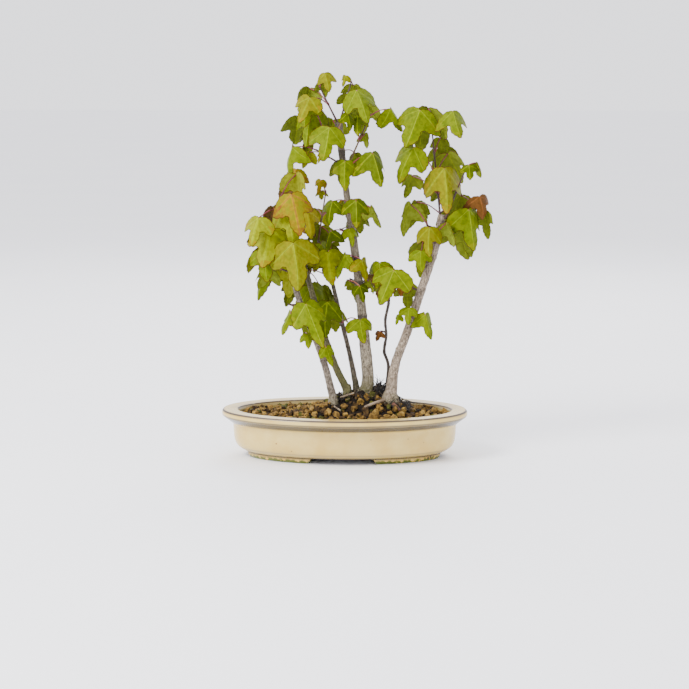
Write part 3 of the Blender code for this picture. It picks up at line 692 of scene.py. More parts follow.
def ring_frames(rows: Sequence[Vector]) -> list[Matrix]:
    """Place of a unit ring at each (x, y, z, radius) row, square to the path and untwisted.

    Args:
        rows: The rows, at least two.

    Returns:
        One matrix for each row.
    """
    frames = []
    side = None
    for index, row in enumerate(rows):
        before = rows[max(0, index - 1)].xyz
        after = rows[min(len(rows) - 1, index + 1)].xyz
        run = (after - before).normalized()
        if side is None:
            side = run.orthogonal()
        side = (side - run * side.dot(run)).normalized()
        turned = Matrix((side, run.cross(side), run)).transposed().to_4x4()
        size = Matrix.Diagonal((row.w, row.w, 1.0, 1.0))
        frames.append(Matrix.Translation(row.xyz) @ turned @ size)
    return frames


def loft(frames: Sequence[Matrix], sides: int,
         marks: Iterable[str] = ()) -> tuple[Form, list[list]]:
    """Closed form whose rings are extruded from one placed circle to the next.

    Args:
        frames: The place of each ring, as a matrix on a unit circle.
        sides: How many vertices a ring has.
        marks: Names of the numbers that each vertex is to carry.

    Returns:
        The bmesh, and the vertices of each ring.
    """
    bm = bmesh.new()
    for mark in marks:
        bm.verts.layers.float.new(mark)
    ring = bmesh.ops.create_circle(bm, cap_ends=True, segments=sides, radius=1.0)["verts"]
    bmesh.ops.transform(bm, matrix=frames[0], verts=ring)
    cap = ring[0].link_faces[0]
    rings = [ring]
    for before, after in zip(frames, frames[1:]):
        grown = bmesh.ops.extrude_face_region(bm, geom=[cap])["geom"]
        if ring is not rings[0]:
            bmesh.ops.delete(bm, geom=[cap], context="FACES_ONLY")
        ring = [part for part in grown if isinstance(part, bmesh.types.BMVert)]
        cap = next(part for part in grown if isinstance(part, bmesh.types.BMFace))
        bmesh.ops.transform(bm, matrix=after @ before.inverted(), verts=ring)
        rings.append(ring)
    bmesh.ops.recalc_face_normals(bm, faces=bm.faces)
    return bm, rings


def tube(rows: Sequence[Vector], sides: int, zone: int = 0) -> Shape:
    """Closed tube along (x, y, z, radius) rows.

    Args:
        rows: The rows.
        sides: How many sides it has.
        zone: The material index of its faces.

    Returns:
        The tube as a shape.
    """
    bm, _ = loft(ring_frames(rows), sides)
    for face in bm.faces:
        face.material_index = zone
    return Shape.of(bm)


# Materials


class Graph:
    """Node tree under construction: adds nodes with their values and links."""

    def __init__(self, tree: bpy.types.NodeTree) -> None:
        """Keep the tree that the nodes go in."""
        self.tree = tree

    def add(self, kind: str, values: dict | None = None, **settings: object) -> Node:
        """Add a node.

        Args:
            kind: The node's type without its "ShaderNode" start.
            values: A value or a source for each named or numbered input.
            **settings: The node's own properties.

        Returns:
            The new node.
        """
        node = self.tree.nodes.new(kind if kind.startswith("NodeGroup") else "ShaderNode" + kind)
        for name, value in settings.items():
            setattr(node, name, value)
        self.fill(node, values or {})
        return node

    def fill(self, node: Node, values: dict) -> None:
        """Give a node's inputs their values and links.

        Args:
            node: The node.
            values: A value or a source for each named or numbered input.
        """
        for socket, value in values.items():
            if isinstance(value, Node):
                value = value.outputs[0]
            if isinstance(value, Socket):
                self.tree.links.new(value, node.inputs[socket])
            else:
                node.inputs[socket].default_value = value

    def blend(self, factor: Source, low: Source | Colour, high: Source | Colour) -> Socket:
        """Colour between two, by a factor.

        Args:
            factor: How far towards the second colour.
            low: The colour or its source at 0.
            high: The colour or its source at 1.

        Returns:
            The colour's socket.
        """
        rows = {0: factor}
        for socket, value in ((6, low), (7, high)):
            rows[socket] = value if isinstance(value, Source) else (*value, 1.0)
        return self.add("Mix", rows, data_type="RGBA").outputs[2]

    def cover(self, under: Source | Colour, mask: Source, share: float, over: Colour) -> Socket:
        """A colour laid over another where a mask is, up to a share."""
        return self.blend(self.number("MULTIPLY", mask, share), under, over)

    def number(self, operation: str, first: object, second: object = 0.0) -> Node:
        """Math node on two values or sources, with its result held between 0 and 1."""
        return self.add("Math", {0: first, 1: second}, operation=operation, use_clamp=True)

    def ramp(self, value: Source, low: float | Source, high: float | Source) -> Node:
        """A value stretched smoothly so that low becomes 0 and high becomes 1."""
        return self.add("MapRange", {0: value, 1: low, 2: high}, interpolation_type="SMOOTHSTEP")

    def stretched(self, vector: Source, scale: Sequence[float]) -> Node:
        """A vector with its own scale along each axis."""
        return self.add("Mapping", {"Vector": vector, "Scale": scale})

    def mark(self, name: str) -> Socket:
        """A number that the mesh carries on its vertices."""
        return self.add("Attribute", attribute_name=name).outputs["Fac"]


class Effect(Enum):
    """Effects that several materials share, each a node group of masks and heights."""

    MOTTLE = "mottle"
    STREAKS = "streaks"
    SPECKS = "specks"
    SPOT = "spot"
    RELIEF = "relief"

    def tree(self) -> bpy.types.NodeTree:
        """The effect's node group, built when it is first asked for.

        Returns:
            The node group.
        """
        made = bpy.data.node_groups.get(self.value)
        if made is None:
            made = bpy.data.node_groups.new(self.value, "ShaderNodeTree")
            getattr(EffectMaker(made), self.value)()
        return made

    def use(self, graph: Graph, vector: Source, **values: object) -> Node:
        """Place the effect at a vector in a material's graph, with its own values."""
        return graph.add("Group", {"Vector": vector, **values}, node_tree=self.tree())


class EffectMaker:
    """Lays out the nodes inside each shared effect."""

    def __init__(self, tree: bpy.types.NodeTree) -> None:
        """Keep the group's tree, with its output node."""
        self.tree = tree
        self.graph = Graph(tree)
        self.exit = tree.nodes.new("NodeGroupOutput")

    def sockets(self, inputs: dict[str, float | None], outputs: Sequence[str]) -> Sequence[Socket]:
        """Make the group's sockets.

        Args:
            inputs: Their names with their values; None makes a vector.
            outputs: The names of the outputs, all numbers.

        Returns:
            The sockets of the group's inputs.
        """
        for name, value in inputs.items():
            kind = "NodeSocketVector" if value is None else "NodeSocketFloat"
            made = self.tree.interface.new_socket(name, in_out="INPUT", socket_type=kind)
            if value is not None:
                made.default_value = value
        for name in outputs:
            self.tree.interface.new_socket(name, in_out="OUTPUT", socket_type="NodeSocketFloat")
        return self.tree.nodes.new("NodeGroupInput").outputs

    def send(self, name: str, source: Source) -> None:
        """Link a result to one of the group's outputs."""
        self.graph.fill(self.exit, {name: source})

    def mottle(self) -> None:
        """Soft uneven patches."""
        inputs = self.sockets({"Vector": None, "Scale": 200.0, "Low": 0.35, "High": 0.65}, ["Mask"])
        cloud = self.graph.add("TexNoise", {"Vector": inputs[0], "Scale": inputs[1], "Detail": 4.0})
        self.send("Mask", self.graph.ramp(cloud, inputs[2], inputs[3]))

    def streaks(self) -> None:
        """Fine lines along Z, and the same as a height."""
        inputs = self.sockets({"Vector": None, "Scale": 500.0}, ["Mask", "Height"])
        drawn = self.graph.stretched(inputs[0], (1.0, 1.0, 0.45))
        broad = self.graph.add("TexNoise", {"Vector": drawn, "Scale": inputs[1], "Detail": 5.0,
                                            "Roughness": 0.7})
        self.send("Mask", self.graph.ramp(broad, 0.34, 0.68))
        self.send("Height", broad)

    def specks(self) -> None:
        """Small separate dots, sparse where Share is low."""
        inputs = self.sockets({"Vector": None, "Scale": 300.0, "Size": 0.2, "Share": 0.3}, ["Mask"])
        cells = self.graph.add("TexVoronoi", {"Vector": inputs[0], "Scale": inputs[1]})
        near = self.graph.number("LESS_THAN", cells.outputs["Distance"], inputs[2])
        apart = self.graph.add("SeparateColor", {0: cells.outputs["Color"]})
        chosen = self.graph.number("LESS_THAN", apart, inputs[3])
        self.send("Mask", self.graph.number("MULTIPLY", near, chosen))

    def spot(self) -> None:
        """One ragged spot at a place."""
        inputs = self.sockets({"Vector": None, "Place": None, "Size": 0.002}, ["Mask"])
        rough = self.graph.add("TexNoise", {"Vector": inputs[0], "Scale": 700.0, "Detail": 3.0})
        away = self.graph.add("VectorMath", {0: inputs[0], 1: inputs[1]}, operation="DISTANCE")
        share = self.graph.number("DIVIDE", away.outputs["Value"], inputs[2])
        ragged = self.graph.add("Math", {0: rough, 1: 0.9, 2: share}, operation="MULTIPLY_ADD")
        self.send("Mask", self.graph.ramp(ragged, 1.2, 1.0))

    def relief(self) -> None:
        """Coarse and fine unevenness as one height."""
        inputs = self.sockets({"Vector": None, "Coarse": 200.0, "Fine": 900.0}, ["Height"])
        coarse = self.graph.add("TexNoise", {"Vector": inputs[0], "Scale": inputs[1], "Detail": 3.0})
        fine = self.graph.add("TexNoise", {"Vector": inputs[0], "Scale": inputs[2], "Detail": 2.0})
        both = self.graph.add("Math", {0: fine, 1: 0.35, 2: coarse},
                              operation="MULTIPLY_ADD")
        self.send("Height", both)


@dataclass(frozen=True)
class Finish:
    """A material under its own name; each kind lays out its own nodes."""

    name: str

    def material(self) -> bpy.types.Material:
        """The finish as a material, made when it is first asked for.

        Returns:
            The material.
        """
        made = bpy.data.materials.get(self.name)
        if made is None:
            made = bpy.data.materials.new(self.name)
            made.use_nodes = True
            graph = Graph(made.node_tree)
            self.lay_out(graph, made.node_tree.nodes["Principled BSDF"])
        return made

    def lay_out(self, graph: Graph, shader: Node) -> None:
        """Add the finish's own nodes to the shader, a Principled BSDF."""

    def places(self, graph: Graph) -> Socket:
        """The piece's own coordinates."""
        return graph.add("TexCoord").outputs["Object"]

    def bump(self, graph: Graph, shader: Node, height: Source, strength: float,
             distance: float) -> None:
        """Lead a height into the shader's normal, raised by a distance in metres."""
        node = graph.add("Bump", {"Height": height, "Strength": strength, "Distance": distance})
        graph.fill(shader, {"Normal": node})


@dataclass(frozen=True)
class LeafFinish(Finish):
    """Living leaf: one tint with a darker cloud in it, patches that turn, and a fine skin."""

    colour: Colour = (0.3, 0.4, 0.02)
    turned: Colour = (0.3, 0.2, 0.02)
    turned_share: float = 0.0
    depth: float = 0.72
    roughness: float = 0.5
    cloud_scale: float = 330.0
    patch_scale: float = 210.0
    shine: float = 0.10
    shine_tint: tuple[float, float, float, float] = (0.85, 0.95, 0.2, 1.0)

    def lay_out(self, graph: Graph, shader: Node) -> None:
        """Mottled tint, turned patches and fine skin relief.

        Args:
            graph: The material's nodes.
            shader: Its Principled BSDF.
        """
        place = self.places(graph)
        cloud = Effect.MOTTLE.use(graph, place, Scale=self.cloud_scale)
        darker = tuple(share * self.depth for share in self.colour)
        tint = graph.blend(cloud, self.colour, darker)
        patch = Effect.MOTTLE.use(graph, place, Scale=self.patch_scale, Low=0.36, High=0.6)
        tint = graph.cover(tint, patch, self.turned_share, self.turned)
        graph.fill(shader, {"Base Color": tint, "Roughness": self.roughness,
                            "Specular IOR Level": self.shine, "Specular Tint": self.shine_tint})
        skin = Effect.RELIEF.use(graph, place, Coarse=400.0, Fine=1400.0)
        self.bump(graph, shader, skin, 0.4, 0.0009)


@dataclass(frozen=True)
class CloudedFinish(Finish):
    """Two shades in clouds on an uneven skin."""

    colour: Colour
    second: Colour
    roughness: float = 0.55
    relief: float = 0.3
    relief_height: float = 0.0006
    cloud: Triple = (180.0, 0.35, 0.65)
    grain: Pair = (700.0, 2200.0)
    shine: float = 0.5

    def lay_out(self, graph: Graph, shader: Node) -> None:
        """Clouds of the second shade, and the skin's relief.

        Args:
            graph: The material's nodes.
            shader: Its Principled BSDF.
        """
        place = self.places(graph)
        scale, low, high = self.cloud
        cloud = Effect.MOTTLE.use(graph, place, Scale=scale, Low=low, High=high)
        tint = graph.blend(cloud, self.colour, self.second)
        graph.fill(shader, {"Base Color": tint, "Roughness": self.roughness,
                            "Specular IOR Level": self.shine})
        coarse, fine = self.grain
        skin = Effect.RELIEF.use(graph, place, Coarse=coarse, Fine=fine)
        self.bump(graph, shader, skin, self.relief, self.relief_height)


@dataclass(frozen=True)
class StemFinish(CloudedFinish):
    """Young stem or root skin."""


@dataclass(frozen=True)
class EarthFinish(CloudedFinish):
    """Baked clay granule or the near-black soil bed, dull and rough."""

    roughness: float = 0.95
    relief: float = 0.9
    relief_height: float = 0.0012
    cloud: Triple = (330.0, 0.38, 0.62)
    grain: Pair = (500.0, 1500.0)
    shine: float = 0.2


@dataclass(frozen=True)
class BarkFinish(Finish):
    """Young maple bark: pale streaks, cork dots, dark bands at its nodes, olive at its foot."""

    pale: Colour = paint("a69a84")
    dark: Colour = paint("4e4435")
    band: Colour = paint("2e261f")
    moss: Colour = paint("4d4a1c")
    moss_share: float = 0.8
    band_share: float = 0.45
    top_share: float = 0.0
    streak_scale: float = 720.0
    dot_scale: float = 700.0
    dot_share: float = 0.72
    scar_scale: float = 260.0
    scar_share: float = 0.6
    roughness: float = 0.82

    def lay_out(self, graph: Graph, shader: Node) -> None:
        """Streaks, cork dots, node bands and the olive foot.

        Args:
            graph: The material's nodes.
            shader: Its Principled BSDF.
        """
        place = self.places(graph)
        lines = Effect.STREAKS.use(graph, place, Scale=self.streak_scale)
        skin = graph.blend(lines.outputs["Mask"], self.dark, self.pale)
        cloud = Effect.MOTTLE.use(graph, place, Scale=120.0, Low=0.4, High=0.7)
        skin = graph.cover(skin, cloud, 0.35, self.dark)
        skin = graph.cover(skin, graph.mark("rise"), self.top_share, self.dark)
        patch = Effect.MOTTLE.use(graph, place, Scale=330.0, Low=0.2, High=0.5)
        olive = graph.number("MULTIPLY", graph.mark("foot"), patch)
        skin = graph.cover(skin, olive, self.moss_share, self.moss)
        across = graph.stretched(place, (1.0, 1.0, 1.7))
        dots = Effect.SPECKS.use(graph, across, Scale=self.dot_scale, Size=0.36, Share=0.55)
        skin = graph.cover(skin, dots, self.dot_share, self.band)
        scars = Effect.SPECKS.use(graph, place, Scale=self.scar_scale, Size=0.2, Share=0.3)
        skin = graph.cover(skin, scars, self.scar_share, self.band)
        # Darker at each node and fading below it, in ragged patches
        ragged = Effect.MOTTLE.use(graph, place, Scale=420.0, Low=0.1, High=0.5)
        node_band = graph.number("MULTIPLY", graph.mark("band"), ragged)
        skin = graph.cover(skin, node_band, self.band_share, self.band)
        graph.fill(shader, {"Base Color": skin, "Roughness": self.roughness})
        self.bump(graph, shader, lines.outputs["Height"], 0.8, 0.0010)


@dataclass(frozen=True)
class GlazeFinish(Finish):
    """Cream glaze with an iron-brown line where it runs thin, specks, and a stained foot."""

    body: Colour = paint("c8a752")
    pale: Colour = paint("d1b667")
    line: Colour = paint("33231a")
    # Dark grey of painted shade, with pooled glaze and dirt in places, laid by the grey mark
    shade_and_grime: Colour = paint("36302a")
    speck: Colour = paint("4a3420")
    algae: Colour = paint("545c12")
    coat: float = 0.25
    coat_roughness: float = 0.12
    middle: Triple = (0.0, 0.0, 0.0)
    spots: tuple = (
        ((-57.3, -46.7, 18.5), 1.0, "7a4a10"), ((-26.6, -52.1, 10.3), 0.7, "4a4030"),
        ((58.0, -47.0, 23.9), 0.7, "3c3024"), ((96.3, -14.4, 21.0), 0.8, "3c3024"),
        ((26.0, -55.8, 24.4), 0.6, "4a3c2a"), ((-59.8, -33.4, 2.4), 1.3, "30241a"),
        ((75.4, -24.0, 2.6), 1.9, "3a2818"), ((77.7, -22.2, 3.0), 1.9, "432e1c"),
        ((79.9, -20.2, 2.8), 1.7, "3a2818"),
    )

    def lay_out(self, graph: Graph, shader: Node) -> None:
        """Clouded glaze, painted shade by the grey mark, the thin line, specks and spots, and the stained
        foot.

        Args:
            graph: The material's nodes.
            shader: Its Principled BSDF.
        """
        place = self.places(graph)
        cloud = Effect.MOTTLE.use(graph, place, Scale=55.0, Low=0.3, High=0.7)
        glaze = graph.blend(cloud, self.body, self.pale)
        # Painted shade by the grey mark: under the lip, in the groove over the feet, and low on the belly
        glaze = graph.blend(graph.ramp(graph.mark("grey"), 0.0, 0.9), glaze, self.shade_and_grime)
        breaks = Effect.MOTTLE.use(graph, place, Scale=240.0, Low=0.14, High=0.36)
        worn = graph.number("MULTIPLY", graph.mark("line"), breaks)
        glaze = graph.blend(worn, glaze, self.line)
        dots = Effect.SPECKS.use(graph, place, Scale=130.0, Size=0.07, Share=0.12)
        glaze = graph.cover(glaze, dots, 0.8, self.speck)
        for where, size, code in self.spots:
            spot = Vector(where) * MM + Vector(self.middle)
            mark = Effect.SPOT.use(graph, place, Place=spot, Size=size * MM)
            glaze = graph.blend(mark, glaze, paint(code))
        growth = Effect.MOTTLE.use(graph, place, Scale=300.0, Low=0.25, High=0.6)
        grown = graph.ramp(graph.number("MULTIPLY", graph.mark("stain"), growth), 0.1, 0.45)
        glaze = graph.blend(grown, glaze, self.algae)
        rough = graph.add("MapRange", {0: worn, 3: 0.24, 4: 0.5})
        graph.fill(shader, {"Base Color": glaze, "Roughness": rough, "Coat Weight": self.coat,
                            "Coat Roughness": self.coat_roughness})
        skin = Effect.RELIEF.use(graph, place, Coarse=60.0, Fine=400.0)
        self.bump(graph, shader, skin, 0.12, 0.0010)


@dataclass(frozen=True)
class FloorFinish(Finish):
    """Pale studio floor."""

    colour: Colour = paint("f9f9fb")
    second: Colour = paint("f7f7fa")
    roughness: float = 0.7

    def lay_out(self, graph: Graph, shader: Node) -> None:
        """Near white with a faint cloud.

        Args:
            graph: The material's nodes.
            shader: Its Principled BSDF.
        """
        cloud = Effect.MOTTLE.use(graph, self.places(graph), Scale=3.0)
        tint = graph.blend(cloud, self.colour, self.second)
        graph.fill(shader, {"Base Color": tint, "Roughness": self.roughness})


# The leaves


class Zone(IntEnum):
    """Zones of a blade, each with a finish of its own."""

    BLADE = 0
    TIPS = 1
    MARGIN = 2
    VEIN = 3
    UNDER = 4
    HALO = 5


@dataclass(frozen=True)
class LeafPattern:
    """Flat three-lobed blade in blade lengths: x across, y from the petiole to the tip."""

    lobe_reach: float = 0.54
    lobe_drop: float = 0.33
    waist: float = 0.205
    roundness: float = 0.7
    tooth: float = 0.017
    margin: float = 0.012
    vein: float = 0.008
    halo: float = 0.045
    samples: int = 26
    side_cuts: tuple[float, ...] = (0.19, 0.34)
    cross_cuts: tuple[float, ...] = (0.14, 0.30, 0.46, 0.62, 0.80)
    tip_start: float = 0.80
    lobe_tip_start: float = 0.44
    lobe_vein_share: float = 0.8

    def half_outline(self) -> list[Vector]:
        """Right half of the toothed outline, from the notch to the tip.

        Returns:
            The outline's points, in blade lengths.
        """
        reach, drop, waist = self.lobe_reach, self.lobe_drop, self.waist
        puff = 0.05 * self.roundness
        keys = ((0.0, 0.0), (0.06, -0.03), (0.16, -0.07), (0.29, -0.06), (0.42, 0.01), (0.51, 0.13),
                (reach, drop - 0.07), (reach - 0.03 + puff, drop + 0.04), (0.42, drop + 0.09 + puff),
                (0.30, 0.43), (waist, 0.455), (waist - 0.01, 0.54), (waist, 0.65), (waist - 0.03, 0.77),
                (0.10, 0.89), (0.04, 0.965), (0.0, 1.0))
        curve = catmull_rom(keys, 6)
        lengths = [0.0]
        for low, high in zip(curve, curve[1:]):
            lengths.append(lengths[-1] + (high - low).length)
        rows = []
        for step in range(self.samples + 1):
            want = lengths[-1] * step / self.samples
            index = max(1, next(i for i, run in enumerate(lengths) if run >= want - 1e-6))
            low, high = curve[index - 1], curve[index]
            point = low.lerp(high, (want - lengths[index - 1]) / (lengths[index] - lengths[index - 1]))
            if 0 < step < self.samples and step % 2:
                run = (high - low).normalized()
                point = point + Vector((run.y, -run.x)) * self.tooth
            rows.append(point)
        return rows

    def lobe_vein(self, side: int) -> tuple[Vector, Vector]:
        """Where a side lobe's main vein starts, and which way it runs.

        Args:
            side: 1 for the right lobe and -1 for the left.

        Returns:
            The start and the unit direction.
        """
        start = Vector((0.0, 0.01, 0.0))
        end = Vector((side * (self.lobe_reach - 0.04), self.lobe_drop - 0.03, 0.0))
        return start, (end - start).normalized()

    def cut(self, bm: Form, faces: Sequence, at: Vector, normal: Vector) -> None:
        """Cut faces along a line.

        Args:
            bm: The blade.
            faces: Those of its faces that are cut.
            at: A point on the line.
            normal: The direction across the line.
        """
        edges = {edge for face in faces for edge in face.edges}
        corners = {vertex for face in faces for vertex in face.verts}
        bmesh.ops.bisect_plane(bm, geom=[*faces, *edges, *corners], plane_co=at, plane_no=normal)

    def zone(self, centre: Vector) -> Zone:
        """Which zone a face of the blade is in, by its centre.

        Args:
            centre: The middle of the face.

        Returns:
            The zone.
        """
        side = 1 if centre.x > 0 else -1
        start, run = self.lobe_vein(side)
        away = centre - start
        beside = abs(away.cross(run).z) if away.dot(run) > 0.0 else 1.0
        middle = abs(centre.x) if centre.y > 0.0 else 1.0
        if middle < self.vein or beside < self.vein * self.lobe_vein_share:
            return Zone.VEIN
        if centre.y > self.tip_start or abs(centre.x) > self.lobe_tip_start:
            return Zone.TIPS
        if middle < self.halo or beside < self.halo * self.lobe_vein_share:
            return Zone.HALO
        return Zone.BLADE

    def shape(self) -> Shape:
        """The blade as a thin closed shape: z is 1 on its upper face and 0 on its lower.

        Its faces are turned inwards here, because the frame of a leaf is left-handed.

        Returns:
            The blade, with the zone of each face.
        """
        bm = bmesh.new()
        half = self.half_outline()
        corners = [bm.verts.new((*point, 0.0)) for point in half]
        corners += [bm.verts.new((-point.x, point.y, 0.0)) for point in reversed(half[1:-1])]
        bm.faces.new(corners)
        right = (self.vein, self.halo, *self.side_cuts)
        for x in (*(-x for x in reversed(right)), *right):
            self.cut(bm, bm.faces[:], Vector((x, 0.0, 0.0)), Vector((1.0, 0.0, 0.0)))
        for side in (-1, 1):
            start, run = self.lobe_vein(side)
            normal = Vector((run.y, -run.x, 0.0))
            for width in (-self.halo, -self.vein, self.vein, self.halo):
                half_faces = [f for f in bm.faces if f.calc_center_median().x * side > self.vein]
                self.cut(bm, half_faces, start + normal * (width * self.lobe_vein_share), normal)
        for y in self.cross_cuts:
            self.cut(bm, bm.faces[:], Vector((0.0, y, 0.0)), Vector((0.0, 1.0, 0.0)))
        for face in bm.faces:
            face.material_index = self.zone(face.calc_center_median())
        rim = bmesh.ops.inset_region(bm, faces=bm.faces[:], thickness=self.margin, use_boundary=True,
                                     use_even_offset=True)["faces"]
        for face in rim:
            face.material_index = Zone.MARGIN
        bmesh.ops.dissolve_degenerate(bm, edges=bm.edges[:], dist=0.0005)
        grown = bmesh.ops.extrude_face_region(bm, geom=bm.faces[:])["geom"]
        upper = [part for part in grown if isinstance(part, bmesh.types.BMVert)]
        bmesh.ops.translate(bm, verts=upper, vec=(0.0, 0.0, 1.0))
        bmesh.ops.recalc_face_normals(bm, faces=bm.faces)
        for face in bm.faces:
            if abs(face.normal.z) < 0.5:
                face.material_index = Zone.MARGIN
            elif face.normal.z < 0.0 and face.material_index in (Zone.BLADE, Zone.TIPS, Zone.HALO):
                face.material_index = Zone.UNDER
        bmesh.ops.reverse_faces(bm, faces=bm.faces)
        return Shape.of(bm)


@dataclass
class Foliage:
    """All leaves: blades joined by the trunk that bears them, then petioles, shoots and buds."""

    growth: Growth
    bench: Bench
    thickness: float = 0.38
    width: float = 1.2
    halo_gain: float = 1.22
    halo_lift: float = 0.003
    turning: float = 0.9
    quilt: float = 0.055
    ripple: float = 0.016
    petiole_radius: float = 0.48
    petiole_heel: float = 0.24
    petiole_neck: float = 0.12
    node_swelling: float = 0.42
    trims: tuple[tuple[str, str, float], ...] = (
        ("leaf_under_green", "6c7620", 0.7), ("leaf_under_brown", "6e5530", 0.7),
        ("leaf_under_lime", "84871c", 0.7), ("leaf_vein_pale", "838d1c", 0.5),
        ("leaf_vein_red", "8a4c30", 0.5), ("leaf_margin_olive", "3f310c", 0.55),
        ("leaf_margin_red", "4e2615", 0.55),
    )
    patterns: tuple[LeafPattern, ...] = (
        LeafPattern(), LeafPattern(lobe_reach=0.50, lobe_drop=0.37, waist=0.18, roundness=0.2),
        LeafPattern(lobe_reach=0.57, lobe_drop=0.27, waist=0.22, roundness=1.0),
    )

    def finishes(self) -> list[Finish]:
        """Blade tints in the order of Tint, the same by veins and at tips, then the other zones.

        Returns:
            The finishes, in the order of their material indices.
        """
        rows: list[Finish] = []
        for tint in Tint:
            second, share = PATCHES.get(tint, (tint, 0.0))
            name = f"leaf_{tint.name.lower()}"
            rows.append(LeafFinish(name, paint(tint.value), paint(second.value), share))
        for tint in Tint:
            red, green, blue = paint(tint.value)
            lighter = (*(part * self.halo_gain + self.halo_lift for part in (red, green)), blue)
            rows.append(LeafFinish(f"leaf_{tint.name.lower()}_beside_vein", lighter))
        for tint in Tint:
            rows.append(LeafFinish(f"leaf_{tint.name.lower()}_tip", paint(tint.value),
                                   paint(WARMER[tint].value), self.turning))
        rows.extend(LeafFinish(name, paint(code), roughness=rough) for name, code, rough in self.trims)
        return rows

    def zones(self, leaf: Leaf) -> list[int]:
        """Material index of each zone of a leaf's pattern.

        Args:
            leaf: The placed leaf.

        Returns:
            The material indices, in the order of Zone.
        """
        tints = list(Tint)
        tint = leaf.tint
        brown = tint in (Tint.AMBER, Tint.RUST, Tint.DRY)
        source = leaf.dice("zone")
        place, count = tints.index(tint), len(tints)
        tips = place + 2 * count if source.random() < 0.55 or brown else place
        trims = range(3 * count, 3 * count + len(self.trims))
        green, dull, lime, pale_vein, red_vein, olive_rim, red_rim = trims
        under, vein = (dull, red_vein) if brown else (green, pale_vein)
        if tint in (Tint.LIME, Tint.YELLOW):
            under = lime
        margin = red_rim if source.random() < 0.45 or brown else olive_rim
        return [place, tips, margin, vein, under, place + count]

    def blade_points(self, leaf: Leaf, shape: Shape) -> np.ndarray:
        """Vertices of one blade: folded, quilted between its veins, drooping and hooked.

        Args:
            leaf: The placed leaf.
            shape: The flat pattern.

        Returns:
            The vertices' places.
        """
        source = leaf.dice("form")
        uneven = source.uniform(-0.10, 0.10)
        sweep = source.uniform(-0.06, 0.14)
        hook = source.uniform(-0.28, 0.28)
        droop = source.uniform(0.3, 2.4)
        tip_curl = source.uniform(-0.2, 1.6)
        rippled = source.uniform(0.4, 1.0)
        phase = source.uniform(0.0, math.tau)
        x, s, lift = shape.points.T
        wide = np.abs(x)
        angle = np.arctan2(wide, np.maximum(s, 1e-4))
        reach = np.hypot(x, s)
        quilt = self.quilt * reach * np.abs(np.sin(angle * (math.pi / 1.03)))
        wave = self.ripple * rippled * np.sin(9.0 * s + 7.0 * wide + phase) * np.clip(wide * 4, 0, 1)
        height = -leaf.fold * wide - leaf.curl * s * s + quilt + wave
        height -= droop * np.maximum(0.0, wide - 0.22) ** 2
        height -= 0.6 * tip_curl * np.maximum(0.0, s - 0.62) ** 2
        bend = hook * np.maximum(0.0, s - 0.45) ** 2
        side = x * leaf.spread * self.width * (1.0 + uneven * np.sign(x)) + bend
        run = s + sweep * wide
        across = np.array(leaf.face.cross(leaf.along))
        flat = np.outer(side, across) + np.outer(run, leaf.along) + np.outer(height, leaf.face)
        return np.array(leaf.base) + flat * leaf.blade + np.outer(lift * self.thickness, leaf.face)

    def make_blades(self, limb: str) -> None:
        """Blades of the sprays on one limb, as one piece that replaces their masses.

        Args:
            limb: The limb's name.
        """
        shapes = [pattern.shape() for pattern in self.patterns]
        joined = Joined()
        for leaf in self.growth.leaves:
            if leaf.spray.limb == limb:
                shape = shapes[leaf.dice("cut").randrange(len(shapes))]
                joined.add(shape, self.blade_points(leaf, shape), self.zones(leaf))
        nodes = [spray.name for spray in SPRAYS if spray.limb == limb]
        used = sorted(set(joined.zones))
        joined.zones = [used.index(zone) for zone in joined.zones]
        finishes = [finish for place, finish in enumerate(self.finishes()) if place in used]
        self.bench.piece(f"blades_{limb}", joined.mesh("blades"), finishes, "leaf", nodes, 60.0)

    def petiole(self, leaf: Leaf) -> Shape:
        """Petiole of a leaf: thick at its foot, arched, and run out along the blade.

        Args:
            leaf: The placed leaf.

        Returns:
            The petiole as a shape.
        """
        path = catmull_rom(leaf.petiole, 3)
        rows = []
        for index, point in enumerate(path):
            t = index / (len(path) - 1)
            radius = self.petiole_radius + self.petiole_heel * (1 - t) ** 4 + self.petiole_neck * t ** 6
            rows.append(Vector((*point, radius)))
        end = leaf.base + leaf.along * 0.05 * leaf.blade + leaf.face * self.thickness * 0.5
        rows.append(Vector((*end, 0.22)))
        return tube(rows, 6)

    def shoot(self, spray: Spray) -> Shape:
        """Shoot of a spray, sunk into its limb, with a swelling at each pair of leaves.

        Args:
            spray: The spray that it carries.

        Returns:
            The shoot as a shape.
        """
        first, *_, last = self.growth.shoots[spray.name]
        run = (last.xyz - first.xyz).normalized()
        sunk = Vector((*(first.xyz - run * (1.8 if spray.height != TIP else 1.2)), first.w * 1.1))
        pairs = (len(spray.leaves) + 1) // 2
        rows = []
        for row in fine_path((sunk, last), 0.9):
            along = (row.xyz - first.xyz).length / spray.length
            near = min(abs(along - (pair + 1) / pairs) for pair in range(pairs)) * spray.length
            row.w *= 0.80 + self.node_swelling * falloff(near, 1.1)
            rows.append(row)
        tip = last.xyz + run * 1.6
        rows.append(Vector((*tip, 0.2)))
        return tube(rows, 8)

